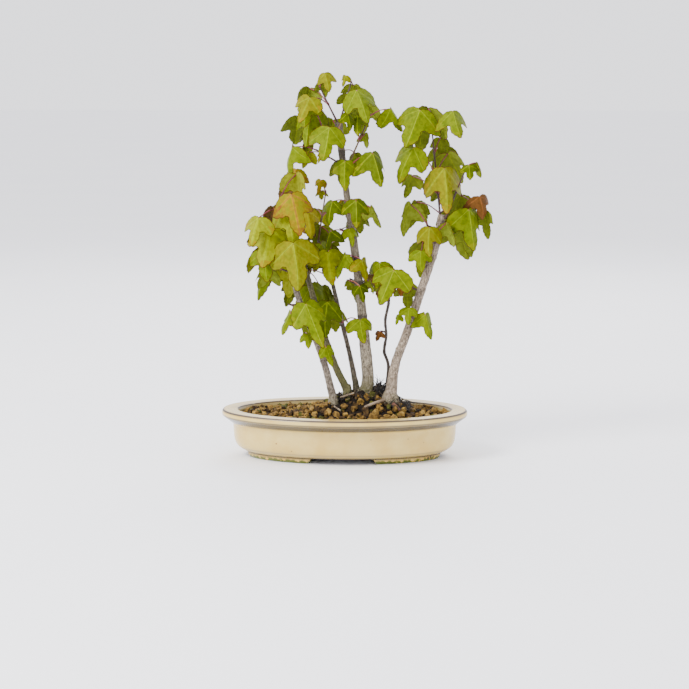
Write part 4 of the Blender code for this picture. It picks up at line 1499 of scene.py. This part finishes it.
    def make_stems(self) -> None:
        """All petioles as one piece and all shoots as another."""
        petioles, shoots = Joined(), Joined()
        for leaf in self.growth.leaves:
            shape = self.petiole(leaf)
            pick = leaf.dice("stem").random()
            petioles.add(shape, shape.points, [0 if pick < 0.7 else 1])
        for spray in (*SPRAYS, *YOUNG_SPRAYS):
            shape = self.shoot(spray)
            pick = Random(f"shoot{spray.name}").random()
            shoots.add(shape, shape.points, [0 if pick < 0.55 or spray.length < 12 else 1])
        red = StemFinish("petiole_red", paint("781f2e"), paint("5a1420"), 0.45)
        blush = StemFinish("petiole_blush", paint("8a3a34"), paint("7a5a20"), 0.45)
        self.bench.piece("petioles", petioles.mesh("petioles"), [red, blush], "leaf")
        brown = StemFinish("shoot_brown", paint("3f1d18"), paint("2a120f"), 0.6)
        olive = StemFinish("shoot_olive", paint("533e12"), paint("4a2415"), 0.6)
        self.bench.piece("shoots", shoots.mesh("shoots"), [brown, olive], "twig")

    def make_all(self) -> None:
        """Every piece of the foliage."""
        for limb in self.growth.limbs:
            self.make_blades(limb)
        self.make_stems()


# Trunks and roots


@dataclass(frozen=True)
class Trunk:
    """Bark-relief mesh of one limb, with swollen bands at its nodes."""

    limb: Limb
    nodes: tuple[float, ...]
    finish: BarkFinish
    foot_height: float = 24.0
    relief: float = 0.22
    pruned: bool = False
    slot: str = "bark"
    collar: int = 4
    depth: float = 5.0
    widening: float = 0.9
    swelling: float = 0.06
    swelling_reach: float = 1.4
    band_reach: float = 7.0
    collar_profile: tuple = ((0.1, 9.0, 0.5), (0.5, 3.4, 0.46), (0.8, 0.9, 0.34), (1.1, -1.6, 0.16))

    def rows(self) -> list[Vector]:
        """Centre line with the radius swollen at each node.

        Returns:
            Rows of x, y, z and radius, from below the soil to the tip.
        """
        first = Vector(self.limb.points[0])
        rows = [first - Vector((0.0, 0.0, self.depth, -self.widening))]
        for row in fine_path(self.limb.path(8), 1.3):
            for node in self.nodes:
                row.w *= 1.0 + self.swelling * falloff(row.z - node, self.swelling_reach)
            rows.append(row)
        return rows

    def band(self, height: float) -> float:
        """How dark the bark is at a height: darkest at a node, fading below it.

        Args:
            height: Height over the pot's feet.

        Returns:
            From 0, pale, to 1.
        """
        dark = 0.0
        for node in self.nodes:
            drop = node - height
            if drop > -1.0:
                dark = max(dark, falloff(max(0.0, drop), self.band_reach, 1.6))
        return dark

    def collar_root(self, index: int, soil: "GranularSoil") -> Shape:
        """One of the roots that spread from the trunk's foot into the soil.

        Args:
            index: Which of the roots it is.
            soil: The soil that it runs into.

        Returns:
            The root as a shape.
        """
        source = Random(f"collar{self.limb.name}{index}")
        x, y, z, radius = self.limb.points[0]
        turn = math.tau * (index + source.uniform(0.1, 0.7)) / self.collar
        out = Vector((math.cos(turn), math.sin(turn), 0.0))
        middle = Vector((x, y, 0.0))
        reach = radius + source.uniform(1.0, 3.4)
        rows = []
        for share, lift, size in self.collar_profile:
            spot = middle + out * reach * share
            ground = z if share < 0.9 else soil.height(spot.x, spot.y)
            rows.append((spot.x, spot.y, ground + lift, radius * size))
        return tube(catmull_rom(rows, 4), 8)

    def add_collar(self, bm: Form, foot: bmesh.types.BMLayerItem,
                   soil: "GranularSoil") -> None:
        """Spread roots round the trunk's foot.

        Args:
            bm: The trunk's bmesh.
            foot: Its mark for the mossy foot.
            soil: The soil that the roots run into.
        """
        for index in range(self.collar):
            root = self.collar_root(index, soil)
            corners = [bm.verts.new(point) for point in root.points]
            for corner in corners:
                corner[foot] = 0.7
            for face in root.faces:
                bm.faces.new([corners[place] for place in face])

    def make(self, soil: "GranularSoil") -> None:
        """Build the trunk and hand it over as a piece.

        Args:
            soil: The soil that it stands in, with its bench.
        """
        rows = self.rows()
        bm, rings = loft(ring_frames(rows), self.limb.sides, ("band", "foot", "rise"))
        band = bm.verts.layers.float["band"]
        foot = bm.verts.layers.float["foot"]
        rise = bm.verts.layers.float["rise"]
        ground, top = rows[0].z, rows[-1].z
        bm.normal_update()
        for row, ring in zip(rows, rings):
            for vertex in ring:
                spot = vertex.co.copy()
                spot.z *= 0.25
                bump = noise.fractal(spot * 0.9, 1.0, 2.0, 3) * self.relief
                ridge = noise.noise(vertex.co * 0.35) * self.relief
                vertex.co += vertex.normal * (bump + ridge) * min(1.0, row.w / 3.0)
                vertex[band] = self.band(vertex.co.z)
                fade = max(0.0, 1.0 - (vertex.co.z - ground) / self.foot_height)
                vertex[foot] = min(1.0, 1.6 * fade)
                vertex[rise] = max(0.0, min(1.0, 2.0 * (vertex.co.z - ground) / (top - ground) - 0.35))
        if self.pruned:
            for vertex in rings[-1]:
                vertex[band] = 1.0
        self.add_collar(bm, foot, soil)
        soil.bench.piece(f"bark_{self.limb.name}", bm, [self.finish], self.slot, [self.limb.name],
                         60.0)


# The pot


@dataclass(frozen=True)
class Mark:
    """A band round the pot that its colour shows: its height on the section, and how it fades. The grey
    bands are painted shade.
    """

    height: float
    reach: float
    share: float = 1.0
    power: float = 2.0
    inset: float | None = None

    def at(self, inset: float, height: float) -> float:
        """How strong the mark is at a point of the section.

        Args:
            inset: How far in from the pot's greatest outline the point is.
            height: Its height.

        Returns:
            From 0, none, to the mark's own share.
        """
        away = height - self.height
        if self.inset is not None:
            away = math.hypot(inset - self.inset, away)
        return self.share * falloff(away, self.reach, self.power)


@dataclass(frozen=True)
class GlazedPot:
    """Low oval pot: rolled lip with a hollow under it, rounded belly, four feet."""

    bench: Bench
    half_length: float = 110.0
    half_width: float = 68.0
    segments: int = 160
    outside: tuple = (
        (21.6, 4.6), (14.4, 9.1), (11.3, 14.7), (10.3, 22.4), (10.0, 29.0), (8.7, 30.6), (2.6, 35.3),
        (0.7, 36.8), (0.0, 38.8), (0.35, 41.0), (1.5, 42.4),
    )
    inside: tuple = ((13.9, 42.0), (15.4, 38.0), (17.2, 16.0), (22.0, 9.6))
    foot_inset: float = 21.5
    foot_section: tuple = (
        (0.0, 5.2), (0.5, 2.6), (1.6, 0.5), (2.2, 0.0), (6.3, 0.0), (6.9, 0.5), (8.0, 2.6), (8.5, 5.2),
    )
    foot_degrees: Pair = (15.0, 69.5)
    foot_slant: float = 2.2
    foot_steps: int = 20
    arris: Mark = Mark(41.8, 1.15, power=4.0, inset=0.95)
    under_arris: Mark = Mark(36.3, 0.8, 0.8, inset=1.2)
    inner_arris: Mark = Mark(41.7, 1.3, power=4.0, inset=13.9)
    # Grey bands of painted shade: under the lip from its lower edge in, where glaze also pools; the
    # groove over the feet, with some dirt; and faintly darker low on the belly
    shade_and_grime_bands: tuple[Mark, ...] = (
        Mark(37.3, 1.0, 0.7), Mark(34.0, 2.8, power=4.0), Mark(4.6, 1.7, 0.9), Mark(7.0, 3.4, 0.22),
    )
    inside_grey: float = 0.42
    inside_start: Pair = (14.0, 9.0)

    def ring(self, inset: float, height: float) -> Matrix:
        """Place of a unit circle as the pot's oval, set in and raised."""
        size = Matrix.Diagonal((self.half_length - inset, self.half_width - inset, 1.0, 1.0))
        return Matrix.Translation((0.0, 0.0, height)) @ size

    def section(self) -> list[Pair]:
        """Inset and height from the underside over the lip to the floor inside.

        Returns:
            The section's points.
        """
        rows = [(max(0.0, point.x), point.y) for point in catmull_rom(self.outside, 5)]
        top, lip = self.outside[-1], self.inside[0]
        rows.append((top[0] + 1.0, top[1] + 0.02))
        rows.append((lip[0] - 1.2, lip[1] + 0.1))
        rows.extend(tuple(point) for point in catmull_rom(self.inside, 3))
        return rows

    def make_body(self, finish: Finish) -> None:
        """The dish, with marks for the glaze's thin line and the grey bands of painted shade; its stain
        mark stays empty.

        Args:
            finish: The glaze.
        """
        section = self.section()
        places = [self.ring(*row) for row in section]
        bm, rings = loft(places, self.segments, ("line", "grey", "stain"))
        line = bm.verts.layers.float["line"]
        grey = bm.verts.layers.float["grey"]
        for (inset, height), ring in zip(section, rings):
            arris, under, inner = (mark.at(inset, height)
                                   for mark in (self.arris, self.under_arris, self.inner_arris))
            outer = max(mark.at(inset, height) for mark in self.shade_and_grime_bands)
            inside = inset > self.inside_start[0] and height > self.inside_start[1]
            for vertex in ring:
                end = abs(vertex.co.x) / self.half_length
                behind = 1.0 if vertex.co.y > 0 else 0.35
                vertex[line] = max(arris, under * end ** 4, inner * behind)
                # Outside, the grey mark is the bands' painted shade; the inside wall takes a share of the
                # same dark grey
                vertex[grey] = self.inside_grey if inside else outer
        self.bench.piece("pot_body", bm, [finish], "glaze", ["pot"], 45.0)

    def make_feet(self, finish: Finish) -> None:
        """The four feet: quarters of an oval ring with slanted ends.

        Args:
            finish: The glaze.
        """
        bm = bmesh.new()
        names = []
        for end, side_x in (("left", -1), ("right", 1)):
            for face, side_y in (("front", -1), ("back", 1)):
                self.foot(bm, side_x, side_y)
                names.append(f"pot_foot_{face}_{end}")
        stain = bm.verts.layers.float.new("stain")
        grey = bm.verts.layers.float.new("grey")
        bm.verts.layers.float.new("line")
        for vertex in bm.verts:
            vertex[stain] = max(0.0, 1.4 - vertex.co.z / 2.6)
            # Painted shade, with some dirt, on the tops of the feet under the belly
            vertex[grey] = 0.9 * max(0.0, min(1.0, (vertex.co.z - 3.4) / 1.8))
        self.bench.piece("pot_feet", bm, [finish], "glaze", names, 35.0)

    def foot(self, bm: Form, side_x: int, side_y: int) -> None:
        """One foot, bridged from section to section along its arc.

        Args:
            bm: The bmesh of all four feet.
            side_x: 1 for the right end and -1 for the left.
            side_y: 1 for the back and -1 for the front.
        """
        loops = []
        for step in range(self.foot_steps + 1):
            ring = []
            for inset, height in self.foot_section:
                slant = self.foot_slant * height / 4.6
                first, last = self.foot_degrees[0] - slant, self.foot_degrees[1] + slant
                turn = math.radians(first + (last - first) * step / self.foot_steps)
                x = (self.half_length - self.foot_inset - inset) * math.cos(turn)
                y = (self.half_width - self.foot_inset - inset) * math.sin(turn)
                ring.append(bm.verts.new((side_x * x, side_y * y, height)))
            loops.append([bm.edges.new(pair) for pair in zip(ring, ring[1:] + ring[:1])])
        for low, high in zip(loops, loops[1:]):
            bmesh.ops.bridge_loops(bm, edges=low + high)
        bmesh.ops.holes_fill(bm, edges=loops[0] + loops[-1], sides=0)


# The soil


class Grain(Enum):
    """Shades of the baked clay granules and what lies among them."""

    OCHRE = ("7a5d29", "4a3616")
    SAND = ("927336", "664e22")
    BROWN = ("4a371c", "2a1d0f")
    # Dealt to the low layer, this dark stands for painted shade in the gaps
    DARK = ("22170d", "110b06")
    MOSS = ("4a4818", "302e0e")

    @classmethod
    def deal(cls, *counts: int) -> tuple["Grain", ...]:
        """A deal that holds each shade, in order, as often as its count says."""
        return tuple(shade for shade, count in zip(cls, counts) for _ in range(count))


@dataclass(frozen=True)
class GrainLayer:
    """A layer of granules: their spacing, sizes and lift, and the shades that they are dealt."""

    name: str
    spacing: float
    smallest: float
    largest: float
    lift: float
    shades: tuple[Grain, ...]
    skipped: float = 0.0


@dataclass(frozen=True)
class RootPatch:
    """Where wiry roots lie on the soil and how they run; a range is drawn from, a number is kept."""

    count: int
    east: Pair
    north: Pair
    start: float
    run: tuple
    length: Pair
    radius: Pair
    lift: float
    shades: tuple[int, ...]

    def heading(self, source: Random) -> Vector:
        """Which way one root sets off."""
        return Vector([source.uniform(*part) if isinstance(part, tuple) else part for part in self.run])


@dataclass(frozen=True)
class GranularSoil:
    """Mounded bed of granules, with matted roots between the two big trunks."""

    pot: GlazedPot
    bench: Bench
    edge: float = 38.6
    rise: float = 19.5
    centre: Pair = (16.0, -1.0)
    spread: Pair = (47.0, 30.0)
    wall: float = 15.7
    knot_centre: Triple = (30.0, 3.0, 56.0)
    knot_size: Triple = (6.0, 8.0, 10.0)
    # Ovals (x, y, half length, half width) of darker granules: dark earth in the first, painted shade
    # beside the right trunk in the second
    earth_and_shade_ovals: tuple = ((7.0, -5.0, 17.0, 8.0), (54.0, -9.0, 13.0, 7.0))
    heap: float = 0.4
    heap_slope: float = 0.8
    edge_clearance: float = 1.5
    jitter: float = 0.36
    row_pitch: float = 0.866
    grain_kinds: int = 9
    grain_corners: int = 13
    bed_shares: tuple[float, ...] = (0.97, 0.9, 0.8, 0.7, 0.6, 0.5, 0.4, 0.3, 0.2, 0.1, 0.03)
    bed_depth: float = 2.0
    layers: tuple[GrainLayer, ...] = (
        # The low layer shows in the gaps and is dealt mostly brown and dark: painted shade between the
        # granules
        GrainLayer("low", 4.8, 2.1, 3.1, -1.4, Grain.deal(1, 0, 2, 4, 1)),
        GrainLayer("top", 7.5, 3.0, 4.8, 0.7, Grain.deal(4, 2, 2, 0, 1), skipped=0.08),
        GrainLayer("crumb", 9.0, 0.8, 1.6, 1.2, Grain.deal(2, 1, 2, 3, 0)),
    )
    # Darker deal of the ovals, partly painted shade
    earth_and_shade_deal: tuple[Grain, ...] = Grain.deal(1, 0, 2, 3, 1)
    knot_roots: int = 190
    knot_shades: tuple[int, ...] = (0, 0, 0, 0, 0, 0, 0, 1)
    patches: tuple[RootPatch, ...] = (
        RootPatch(90, (39, 57), (-21, 3), 0.5, ((0.2, 1), (-0.8, 0.5), (0.1, 0.9)), (6, 16),
                  (0.2, 0.45), 5.0, (0,)),
        RootPatch(125, (-16, 34), (-16, 8), 0.8, ((-1, 1), (-1, 1), 0.3), (5, 12),
                  (0.2, 0.4), 2.5, (0, 0, 0, 1)),
    )
    root_steps: int = 7

    def height(self, x: float, y: float) -> float:
        """Height of the soil at a place, heaped against the feet of the limbs.

        Args:
            x: Place along the pot.
            y: Place across it.

        Returns:
            The height over the pot's feet.
        """
        level = self.ground(x, y)
        for limb in LIMBS:
            foot = Vector(limb.points[0])
            away = max(0.0, math.hypot(x - foot.x, y - foot.y) - foot.w)
            level = max(level, foot.z + self.heap - self.heap_slope * away)
        return level

    def ground(self, x: float, y: float) -> float:
        """Height of the plain mound at a place."""
        away = ((x - self.centre[0]) / self.spread[0]) ** 2 + ((y - self.centre[1]) / self.spread[1]) ** 2
        return self.edge + self.rise * math.exp(-1.5 * away ** 1.1)

    def in_earth_and_shade(self, x: float, y: float) -> bool:
        """Whether a place is in one of the dark ovals (x, y, half length, half width): dark earth in the
        first, painted shade in the second.
        """
        return any(math.hypot((x - east) / length, (y - north) / width) < 1.0
                   for east, north, length, width in self.earth_and_shade_ovals)

    def make_bed(self) -> None:
        """The near-black bed that the granules lie in, from the pot's floor up: dark earth, with painted
        shade in the gaps between the granules.
        """
        frames = [self.pot.ring(22.6, 9.9), self.pot.ring(17.5, 16.4), self.pot.ring(self.wall, 36.0)]
        length, width = self.pot.half_length - self.wall, self.pot.half_width - self.wall
        for share in self.bed_shares:
            size = Matrix.Diagonal((length * share, width * share, 1.0, 1.0))
            shift = Vector((self.centre[0], self.centre[1], 0.0)) * (1.0 - share)
            frames.append(Matrix.Translation(shift + Vector((0.0, 0.0, 37.0))) @ size)
        bm, rings = loft(frames, 72)
        for ring in rings[3:]:
            for vertex in ring:
                rough = noise.noise(vertex.co * 0.3)
                vertex.co.z = self.height(vertex.co.x, vertex.co.y) - self.bed_depth + rough
        # Near black: dark earth, with painted shade in the gaps between the granules
        humus = EarthFinish("humus", paint("1c130c"), paint("0c0805"))
        self.bench.piece("soil_bed", bm, [humus], "soil", ["soil"])

    def grain_shapes(self) -> list[Shape]:
        """Angular granules: the hulls of a few scattered points on a ball.

        Returns:
            The shapes, each about 1 in radius.
        """
        shapes = []
        for seed in range(self.grain_kinds):
            source = Random(f"grain{seed}")
            bm = bmesh.new()
            for _ in range(self.grain_corners):
                place = Vector([source.gauss(0.0, 1.0) for _ in range(3)]).normalized()
                bm.verts.new(place * source.uniform(0.82, 1.08))
            bmesh.ops.convex_hull(bm, input=bm.verts[:])
            loose = [vertex for vertex in bm.verts if not vertex.link_faces]
            bmesh.ops.delete(bm, geom=loose, context="VERTS")
            bmesh.ops.recalc_face_normals(bm, faces=bm.faces)
            shapes.append(Shape.of(bm))
        return shapes

    def spots(self, spacing: float, seed: str) -> list[Pair]:
        """Jittered places over the soil, kept off the feet of the limbs.

        Args:
            spacing: How far the places are apart, about.
            seed: What their jitter follows.

        Returns:
            The places (x, y).
        """
        source = Random(seed)
        reach_x = self.pot.half_length - self.wall - self.edge_clearance
        reach_y = self.pot.half_width - self.wall - self.edge_clearance
        places = []
        for row in range(int(2 * reach_y / (spacing * self.row_pitch)) + 1):
            for column in range(int(2 * reach_x / spacing) + 2):
                x = -reach_x + (column + 0.5 * (row % 2)) * spacing
                x += source.uniform(-self.jitter, self.jitter) * spacing
                y = -reach_y + row * spacing * self.row_pitch
                y += source.uniform(-self.jitter, self.jitter) * spacing
                if (x / reach_x) ** 2 + (y / reach_y) ** 2 > 1.0:
                    continue
                if all(math.hypot(x - limb.points[0][0], y - limb.points[0][1]) > limb.points[0][3] + 0.2
                       for limb in LIMBS):
                    places.append((x, y))
        return places

    def make_granules(self) -> None:
        """Three sizes of granules, from the bed up."""
        kinds = list(Grain)
        shapes = self.grain_shapes()
        joined = Joined()
        for layer in self.layers:
            source = Random(layer.name)
            for x, y in self.spots(layer.spacing, layer.name):
                if layer.skipped and source.random() < layer.skipped:
                    continue
                radius = source.uniform(layer.smallest, layer.largest)
                turn = Matrix.Rotation(source.uniform(0, math.tau), 3, Vector(
                    [source.gauss(0, 1) for _ in range(3)]).normalized())
                size = Matrix.Diagonal([radius * source.uniform(0.8, 1.15) for _ in range(3)])
                z = self.height(x, y) + layer.lift + source.uniform(-0.9, 0.7) - radius * 0.35
                shape = shapes[source.randrange(len(shapes))]
                points = shape.points @ np.array(turn @ size).T + np.array((x, y, z))
                # Darker in the ovals: dark earth in the first, painted shade in the second
                shade = source.choice(self.earth_and_shade_deal if self.in_earth_and_shade(x, y) else layer.shades)
                joined.add(shape, points, [kinds.index(shade)])
        finishes = [EarthFinish(f"grain_{kind.name.lower()}", *map(paint, kind.value)) for kind in kinds]
        self.bench.piece("soil_granules", joined.mesh("granules"), finishes, "soil", (), 50.0)

    def wiry_root(self, source: Random, start: Vector, run: Vector, length: float,
                  radius: float, lift: float) -> Shape:
        """A thin root that wanders over the soil.

        Args:
            source: Its own random numbers.
            start: Where it comes out.
            run: Which way it sets off.
            length: How far it goes.
            radius: Its radius at the start.
            lift: How high over the soil it lies at most.

        Returns:
            The root as a shape.
        """
        rows = []
        point = start.copy()
        for step in range(self.root_steps + 1):
            t = step / self.root_steps
            rows.append(Vector((*point, radius * (1.0 - 0.6 * t))))
            run = (run + Vector([source.uniform(-0.5, 0.5) for _ in range(3)])).normalized()
            point = point + run * length / self.root_steps
            ground = self.height(point.x, point.y)
            point.z = min(max(point.z, ground - 0.5), ground + lift)
        return tube(catmull_rom(rows, 2), 4)

    def add_knot(self, joined: Joined, source: Random) -> None:
        """The dark lump of roots between the two big trunks, bristling with wiry ones.

        Args:
            joined: The mesh that gathers the roots.
            source: Their random numbers.
        """
        bm = bmesh.new()
        bmesh.ops.create_icosphere(bm, subdivisions=4, radius=1.0)
        for vertex in bm.verts:
            rough = 0.86 + 0.10 * noise.noise(vertex.co * 4.0)
            vertex.co = Vector(self.knot_centre) + Vector(
                share * size * rough for share, size in zip(vertex.co, self.knot_size))
        lump = Shape.of(bm)
        joined.add(lump, lump.points, [0])
        for _ in range(self.knot_roots):
            turn, level = source.uniform(0, math.tau), source.uniform(-0.3, 0.95)
            flat = math.sqrt(1.0 - level * level)
            out = Vector((flat * math.cos(turn), flat * math.sin(turn), level))
            start = Vector(self.knot_centre) + Vector(
                share * size * 0.8 for share, size in zip(out, self.knot_size))
            run = (out * 0.5 + Vector([source.uniform(-1, 1) for _ in range(3)])).normalized()
            length, radius = source.uniform(5, 13), source.uniform(0.2, 0.5)
            shape = self.wiry_root(source, start, run, length, radius, 30.0)
            joined.add(shape, shape.points, [source.choice(self.knot_shades)])

    def add_patch(self, joined: Joined, source: Random, patch: RootPatch) -> None:
        """Wiry roots over one part of the soil.

        Args:
            joined: The mesh that gathers the roots.
            source: Their random numbers.
            patch: Where they lie and how they run.
        """
        for _ in range(patch.count):
            start = Vector((source.uniform(*patch.east), source.uniform(*patch.north), 0.0))
            start.z = self.height(start.x, start.y) + patch.start
            run = patch.heading(source)
            length, radius = source.uniform(*patch.length), source.uniform(*patch.radius)
            shape = self.wiry_root(source, start, run, length, radius, patch.lift)
            shade = source.choice(patch.shades) if len(patch.shades) > 1 else patch.shades[0]
            joined.add(shape, shape.points, [shade])

    def make_tangle(self) -> None:
        """Matted dark roots between the two big trunks and wiry ones round their feet."""
        joined = Joined()
        source = Random("tangle")
        self.add_knot(joined, source)
        for patch in self.patches:
            self.add_patch(joined, source, patch)
        dark = StemFinish("root_dark", paint("1c140f"), paint("0c0906"), 0.8)
        pale = StemFinish("root_pale", paint("796852"), paint("54432f"), 0.75)
        self.bench.piece("root_tangle", joined.mesh("tangle"), [dark, pale], "root")


@dataclass(frozen=True)
class SurfaceRoot:
    """A root that shows on the soil: (x, y, lift over the soil, radius) along it."""

    name: str
    points: tuple
    colours: tuple[str, str]

    def make(self, soil: GranularSoil) -> None:
        """Knobbly tapering root that replaces its plain solid.

        Args:
            soil: The soil that it lies on, with its bench.
        """
        rows = []
        for x, y, lift, radius in self.points:
            rows.append(Vector((x, y, soil.ground(x, y) + lift + 0.4, radius)))
        path = fine_path(catmull_rom(rows, 6), 0.8)
        for row in path:
            row.w *= 1.0 + 0.22 * noise.noise(row.xyz * 0.8)
        bm, _ = loft(ring_frames(path), 10)
        finish = StemFinish(f"skin_{self.name}", *map(paint, self.colours), 0.8, 0.6)
        soil.bench.piece(f"bark_{self.name}", bm, [finish], "root", [self.name])


SURFACE_ROOTS = (
    SurfaceRoot("root_front", ((36.0, -16.5, 3.6, 1.5), (28.0, -21, 2.6, 1.5), (19.0, -25.5, 1.8, 1.1)),
                ("8a7862", "5e4c38")),
    SurfaceRoot("root_right", ((44.0, -17.5, 3.4, 1.8), (50.0, -23, 2.2, 1.2)), ("744834", "5a3626")),
    SurfaceRoot("root_left", ((-8.0, -21.0, 1.8, 0.8), (-2.0, -28, 1.6, 0.7)), ("857660", "5e4e3c")),
    SurfaceRoot("root_middle", ((-3.0, -11.5, 1.9, 0.9), (9.0, -9.5, 1.8, 0.8)), ("8c7c64", "665542")),
)


# Light, floor and camera


@dataclass(frozen=True)
class Studio:
    """Pale floor, soft lights and the camera at the photograph's angle."""

    eye: Triple = (94.0, -1790.0, 347.3)
    yaw: float = 3.006
    pitch: float = 7.846
    lens: float = 105.98
    aim: Triple = (0.0, 0.0, 0.15)
    floor_size: float = 14.0
    sky: tuple[float, float, float, float] = (0.95, 0.95, 1.0, 1.0)
    sky_strength: float = 2.05
    lights: tuple = (("key", (-1.2, -1.1, 1.4), 0.8, 66.0), ("back", (0.2, 1.3, 1.3), 1.0, 20.0))

    def add_floor(self) -> None:
        """Large pale floor that the pot stands on."""
        bm = bmesh.new()
        bmesh.ops.create_grid(bm, x_segments=2, y_segments=2, size=self.floor_size)
        mesh = bpy.data.meshes.new("floor")
        bm.to_mesh(mesh)
        bm.free()
        mesh.materials.append(FloorFinish("floor").material())
        item = bpy.data.objects.new("floor", mesh)
        bpy.context.scene.collection.objects.link(item)

    def add_light(self, name: str, place: Sequence[float], size: float, power: float) -> None:
        """Square area light that looks at the middle of the plant.

        Args:
            name: The light's name.
            place: Where it stands, in metres.
            size: The length of its side in metres.
            power: Its power in watts.
        """
        data = bpy.data.lights.new(name, "AREA")
        data.size = size
        data.energy = power
        item = bpy.data.objects.new(name, data)
        item.location = place
        look = Vector(self.aim) - Vector(place)
        item.rotation_euler = look.to_track_quat("-Z", "Y").to_euler()
        bpy.context.scene.collection.objects.link(item)

    def add_world(self) -> None:
        """Even white surroundings."""
        world = bpy.data.worlds.new("studio")
        bpy.context.scene.world = world
        world.use_nodes = True
        back = world.node_tree.nodes["Background"]
        back.inputs["Color"].default_value = self.sky
        back.inputs["Strength"].default_value = self.sky_strength

    def add_camera(self, middle: Vector) -> None:
        """Camera at the photograph's viewpoint.

        Args:
            middle: The middle of the pot on the ground.
        """
        data = bpy.data.cameras.new("camera")
        data.lens = self.lens
        item = bpy.data.objects.new("camera", data)
        item.location = Vector(self.eye) * MM + middle
        look = heading_vector(90.0 + self.yaw, -self.pitch)
        item.rotation_euler = look.to_track_quat("-Z", "Y").to_euler()
        bpy.context.scene.collection.objects.link(item)
        bpy.context.scene.camera = item

    def make(self, middle: Vector) -> None:
        """Set up floor, lights, world and camera.

        Args:
            middle: The middle of the pot on the ground.
        """
        self.add_floor()
        self.add_world()
        for light in self.lights:
            self.add_light(*light)
        self.add_camera(middle)


def pot_middle() -> Vector:
    """Middle of the pot on the ground, in the part's frame."""
    low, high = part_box("pot")
    return Vector(((low.x + high.x) / 2, (low.y + high.y) / 2, 0.0))


def trunks() -> list[Trunk]:
    """The trunks and the dry twig, each with the heights of its nodes.

    Returns:
        The limbs that get a bark mesh, in order.
    """
    limbs = {limb.name: limb for limb in LIMBS}
    grey = BarkFinish("bark_main", moss_share=0.9, band_share=0.85, top_share=0.6)
    silver = BarkFinish("bark_right", paint("aa9985"), paint("5a4b3b"), moss_share=0.6, band_share=0.3)
    olive = BarkFinish("bark_left_back", paint("807850"), paint("3d3922"), moss_share=0.9)
    brown = BarkFinish("bark_left", paint("948777"), paint("453b31"), moss_share=0.5)
    slim = BarkFinish("bark_middle", paint("786d5c"), paint("362f26"), moss_share=0.7)
    dry = BarkFinish("bark_dry", paint("4e4136"), paint("28201a"), moss_share=0.3)
    return [
        Trunk(limbs["trunk_main"], (126.5, 156.5, 178.5, 200.5, 226.5, 252.0, 272.0),
              grey, 27.0, pruned=True, collar=5),
        Trunk(limbs["trunk_left_front"], (88.0, 112.0, 136.0, 151.0, 168.0, 186.0), brown, 12.0,
              collar=0),
        Trunk(limbs["trunk_left_back"], (98.0, 118.0, 140.0, 162.0, 172.0), olive, 60.0),
        Trunk(limbs["trunk_middle"], (96.0, 117.0, 137.0, 156.0, 178.0), slim, collar=2),
        Trunk(limbs["trunk_right"], (96.0, 126.0, 150.0, 178.0, 192.0, 204.0, 211.0), silver, 14.0,
              collar=3),
        Trunk(limbs["dry_twig"], (70.0, 93.0, 107.0, 122.0, 139.0, 150.0), dry, relief=0.35,
              slot="twig", collar=0),
    ]


def main() -> None:
    """Make every piece in order."""
    logging.basicConfig(level=logging.INFO, format="%(message)s")
    middle = pot_middle()
    bench = Bench(middle)
    glaze = GlazeFinish("glaze_cream", middle=tuple(middle))
    pot = GlazedPot(bench)
    pot.make_body(glaze)
    warm = GlazeFinish("glaze_feet", paint("cfa548"), paint("d8b55c"), middle=tuple(middle))
    pot.make_feet(warm)
    soil = GranularSoil(pot, bench)
    soil.make_bed()
    soil.make_granules()
    soil.make_tangle()
    for root in SURFACE_ROOTS:
        root.make(soil)
    for trunk in trunks():
        trunk.make(soil)
    growth = Growth({limb.name: limb for limb in LIMBS})
    growth.grow_all(SPRAYS)
    growth.grow_all(YOUNG_SPRAYS)
    Foliage(growth, bench).make_all()
    Studio().make(middle)


if __name__ == "__main__":
    main()
